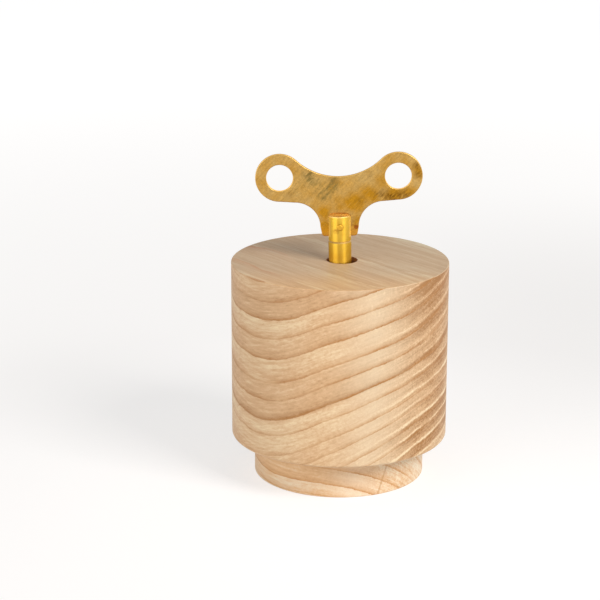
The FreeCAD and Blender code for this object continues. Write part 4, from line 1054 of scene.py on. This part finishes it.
def surroundings():
    """White for the camera, and a soft grey studio for the light and the metal."""
    world = bpy.data.worlds.new("studio")
    bpy.context.scene.world = world
    world.use_nodes = True
    world.node_tree.nodes.clear()
    loom = Loom(world.node_tree)
    plain = loom.wire("ShaderNodeBackground", {"Color": (1.0, 0.99, 0.98, 1), "Strength": 0.32})
    white = loom.wire("ShaderNodeBackground", {"Color": (1.0, 1.0, 1.0, 1), "Strength": 0.9})
    both = loom.wire("ShaderNodeMixShader", {0: loom.seen(), 1: plain, 2: white})
    loom.put("ShaderNodeOutputWorld", {"Surface": both})


def lamp(name, azimuth, elevation, distance, size, power, colour):
    """A soft square lamp that faces the box. Azimuth runs from the front towards the right."""
    light = bpy.data.lights.new(name, "AREA")
    light.size = size
    light.energy = power
    light.color = colour
    holder = placed(name, light)
    turn, rise = radians(azimuth), radians(elevation)
    way = Vector((sin(turn) * cos(rise), -cos(turn) * cos(rise), sin(rise)))
    target = Vector((0, 0, 0.07))
    holder.location = target + way * distance
    holder.rotation_euler = (-way).to_track_quat("-Z", "Y").to_euler()
    holder.visible_camera = False


def camera():
    """The photograph's view: fitted place in metres, angles in radians and focal length in pixels."""
    eye = Vector((0, -0.830286, 0.317921))
    pitch, swing, roll, focal = 0.2860, -0.0199, 0.0023, 2083.9
    sensor, picture = 36.0, 600
    ahead = Vector((sin(swing) * cos(pitch), cos(swing) * cos(pitch), -sin(pitch)))
    right = Vector((cos(swing), -sin(swing), 0))
    up = right.cross(ahead)
    level = right * cos(roll) + up * sin(roll)
    upright = up * cos(roll) - right * sin(roll)
    lens = bpy.data.cameras.new("camera")
    lens.sensor_width = sensor
    lens.sensor_fit = "HORIZONTAL"
    lens.lens = focal * sensor / picture
    lens.clip_start = 0.01
    lens.clip_end = 30.0
    holder = placed("camera", lens)
    turn = Matrix((level, upright, -ahead)).transposed().to_4x4()
    holder.matrix_world = Matrix.Translation(eye) @ turn
    bpy.context.scene.camera = holder


def dress(node, finish):
    """Puts a finish on a CAD node, on its object's slots."""
    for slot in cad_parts[node].material_slots:
        slot.link = "OBJECT"
        slot.material = finish


bpy.context.scene.view_settings.view_transform = "Standard"
camera()
surroundings()
stage_floor()
lamp("window_lamp", 48, 38, 1.1, 0.48, 9.6, (1.0, 0.98, 0.96))
lamp("front_fill", -49, 14, 1.3, 1.1, 7.9, (1.0, 0.99, 0.98))

drum_wood = wood(
    "drum_wood",
    fibres=-49.7,
    end_faces=(-24, 121),
    rings={"Pith Across": 68.8, "Pith Height": -125.3, "Bend": 1, "Wander": 1.6, "Feather": 0.9},
    timber={"Fibre Tilt": radians(13), "Low Lines": 0.6},
    tones=((244, 223, 183), (213, 173, 130), (158, 108, 54), (232, 215, 184), (186, 128, 68)),
    top_sheen_tint=(228, 235, 240),
)
foot_wood = wood(
    "foot_wood",
    fibres=-50,
    end_faces=(-28, 117),
    rings={"Pith Across": -30, "Pith Height": -43, "Wander": 1.5, "Feather": 0.9, "Ring Shift": 146},
    timber={
        "Line Strength": 0.8, "Ring Tones": 1.2, "Heart Line": 0, "Cream Lines": 0, "End Lines": 0.5,
        "End Shade": -0.6,
    },
    tones=((245, 230, 205), (228, 189, 143), (186, 132, 80), (246, 228, 204), (208, 148, 86)),
    crossing=(202, 152, 98),
)
board_wood = wood(
    "board_wood",
    fibres=20,
    end_faces=(20, 200),
    rings={"Pith Across": 90, "Pith Height": -150, "Wander": 2, "Feather": 0.6},
    timber={
        "Line Strength": 0.4, "Ring Tones": 0.3, "Heart Line": 0, "Cream Lines": 0.3, "End Shade": 0.3,
    },
    tones=((240, 220, 180), (226, 198, 152), (184, 142, 92), (232, 208, 170), (196, 148, 92)),
)
FINISHES = {name: metal(name)[0] for name in METALS if name not in ("key_brass", "barrel_brass")}
FINISHES["board_wood"] = board_wood
FINISHES["green_felt"] = felt("green_felt", (38, 78, 58), (62, 108, 84))

drum(drum_wood)
foot(foot_wood)
wing_plate(key_brass())
slit_barrel(barrel_brass(), FINISHES["edge_brass"])
leaf_spring(FINISHES["spring_steel"])
NODES = {
    "board_wood": "bottom_board",
    "green_felt": "base_felt",
    "rivet_brass": "key_rivet",
    "plate_metal": "bedplate comb_rest",
    "comb_steel": "comb",
    "weight_lead": "bass_weights",
    "spring_steel": "mainspring",
    "fly_metal": "fly",
    "pressed_steel": "spring_housing spring_cover cylinder_bracket governor_frame governor_cock",
    "arbor_steel": "winding_arbor ratchet_wheel click click_pin cylinder_arbor governor_arbor worm",
    "movement_brass": "drive_wheel drive_pinion melody_drum drum_caps great_wheel "
    "governor_pinion governor_wheel",
    "screw_steel": "foot_screws wood_screws housing_screws bracket_screws comb_screws frame_screws "
    "cock_screw",
}
for name, nodes in NODES.items():
    for node in nodes.split():
        dress(node, FINISHES[name])
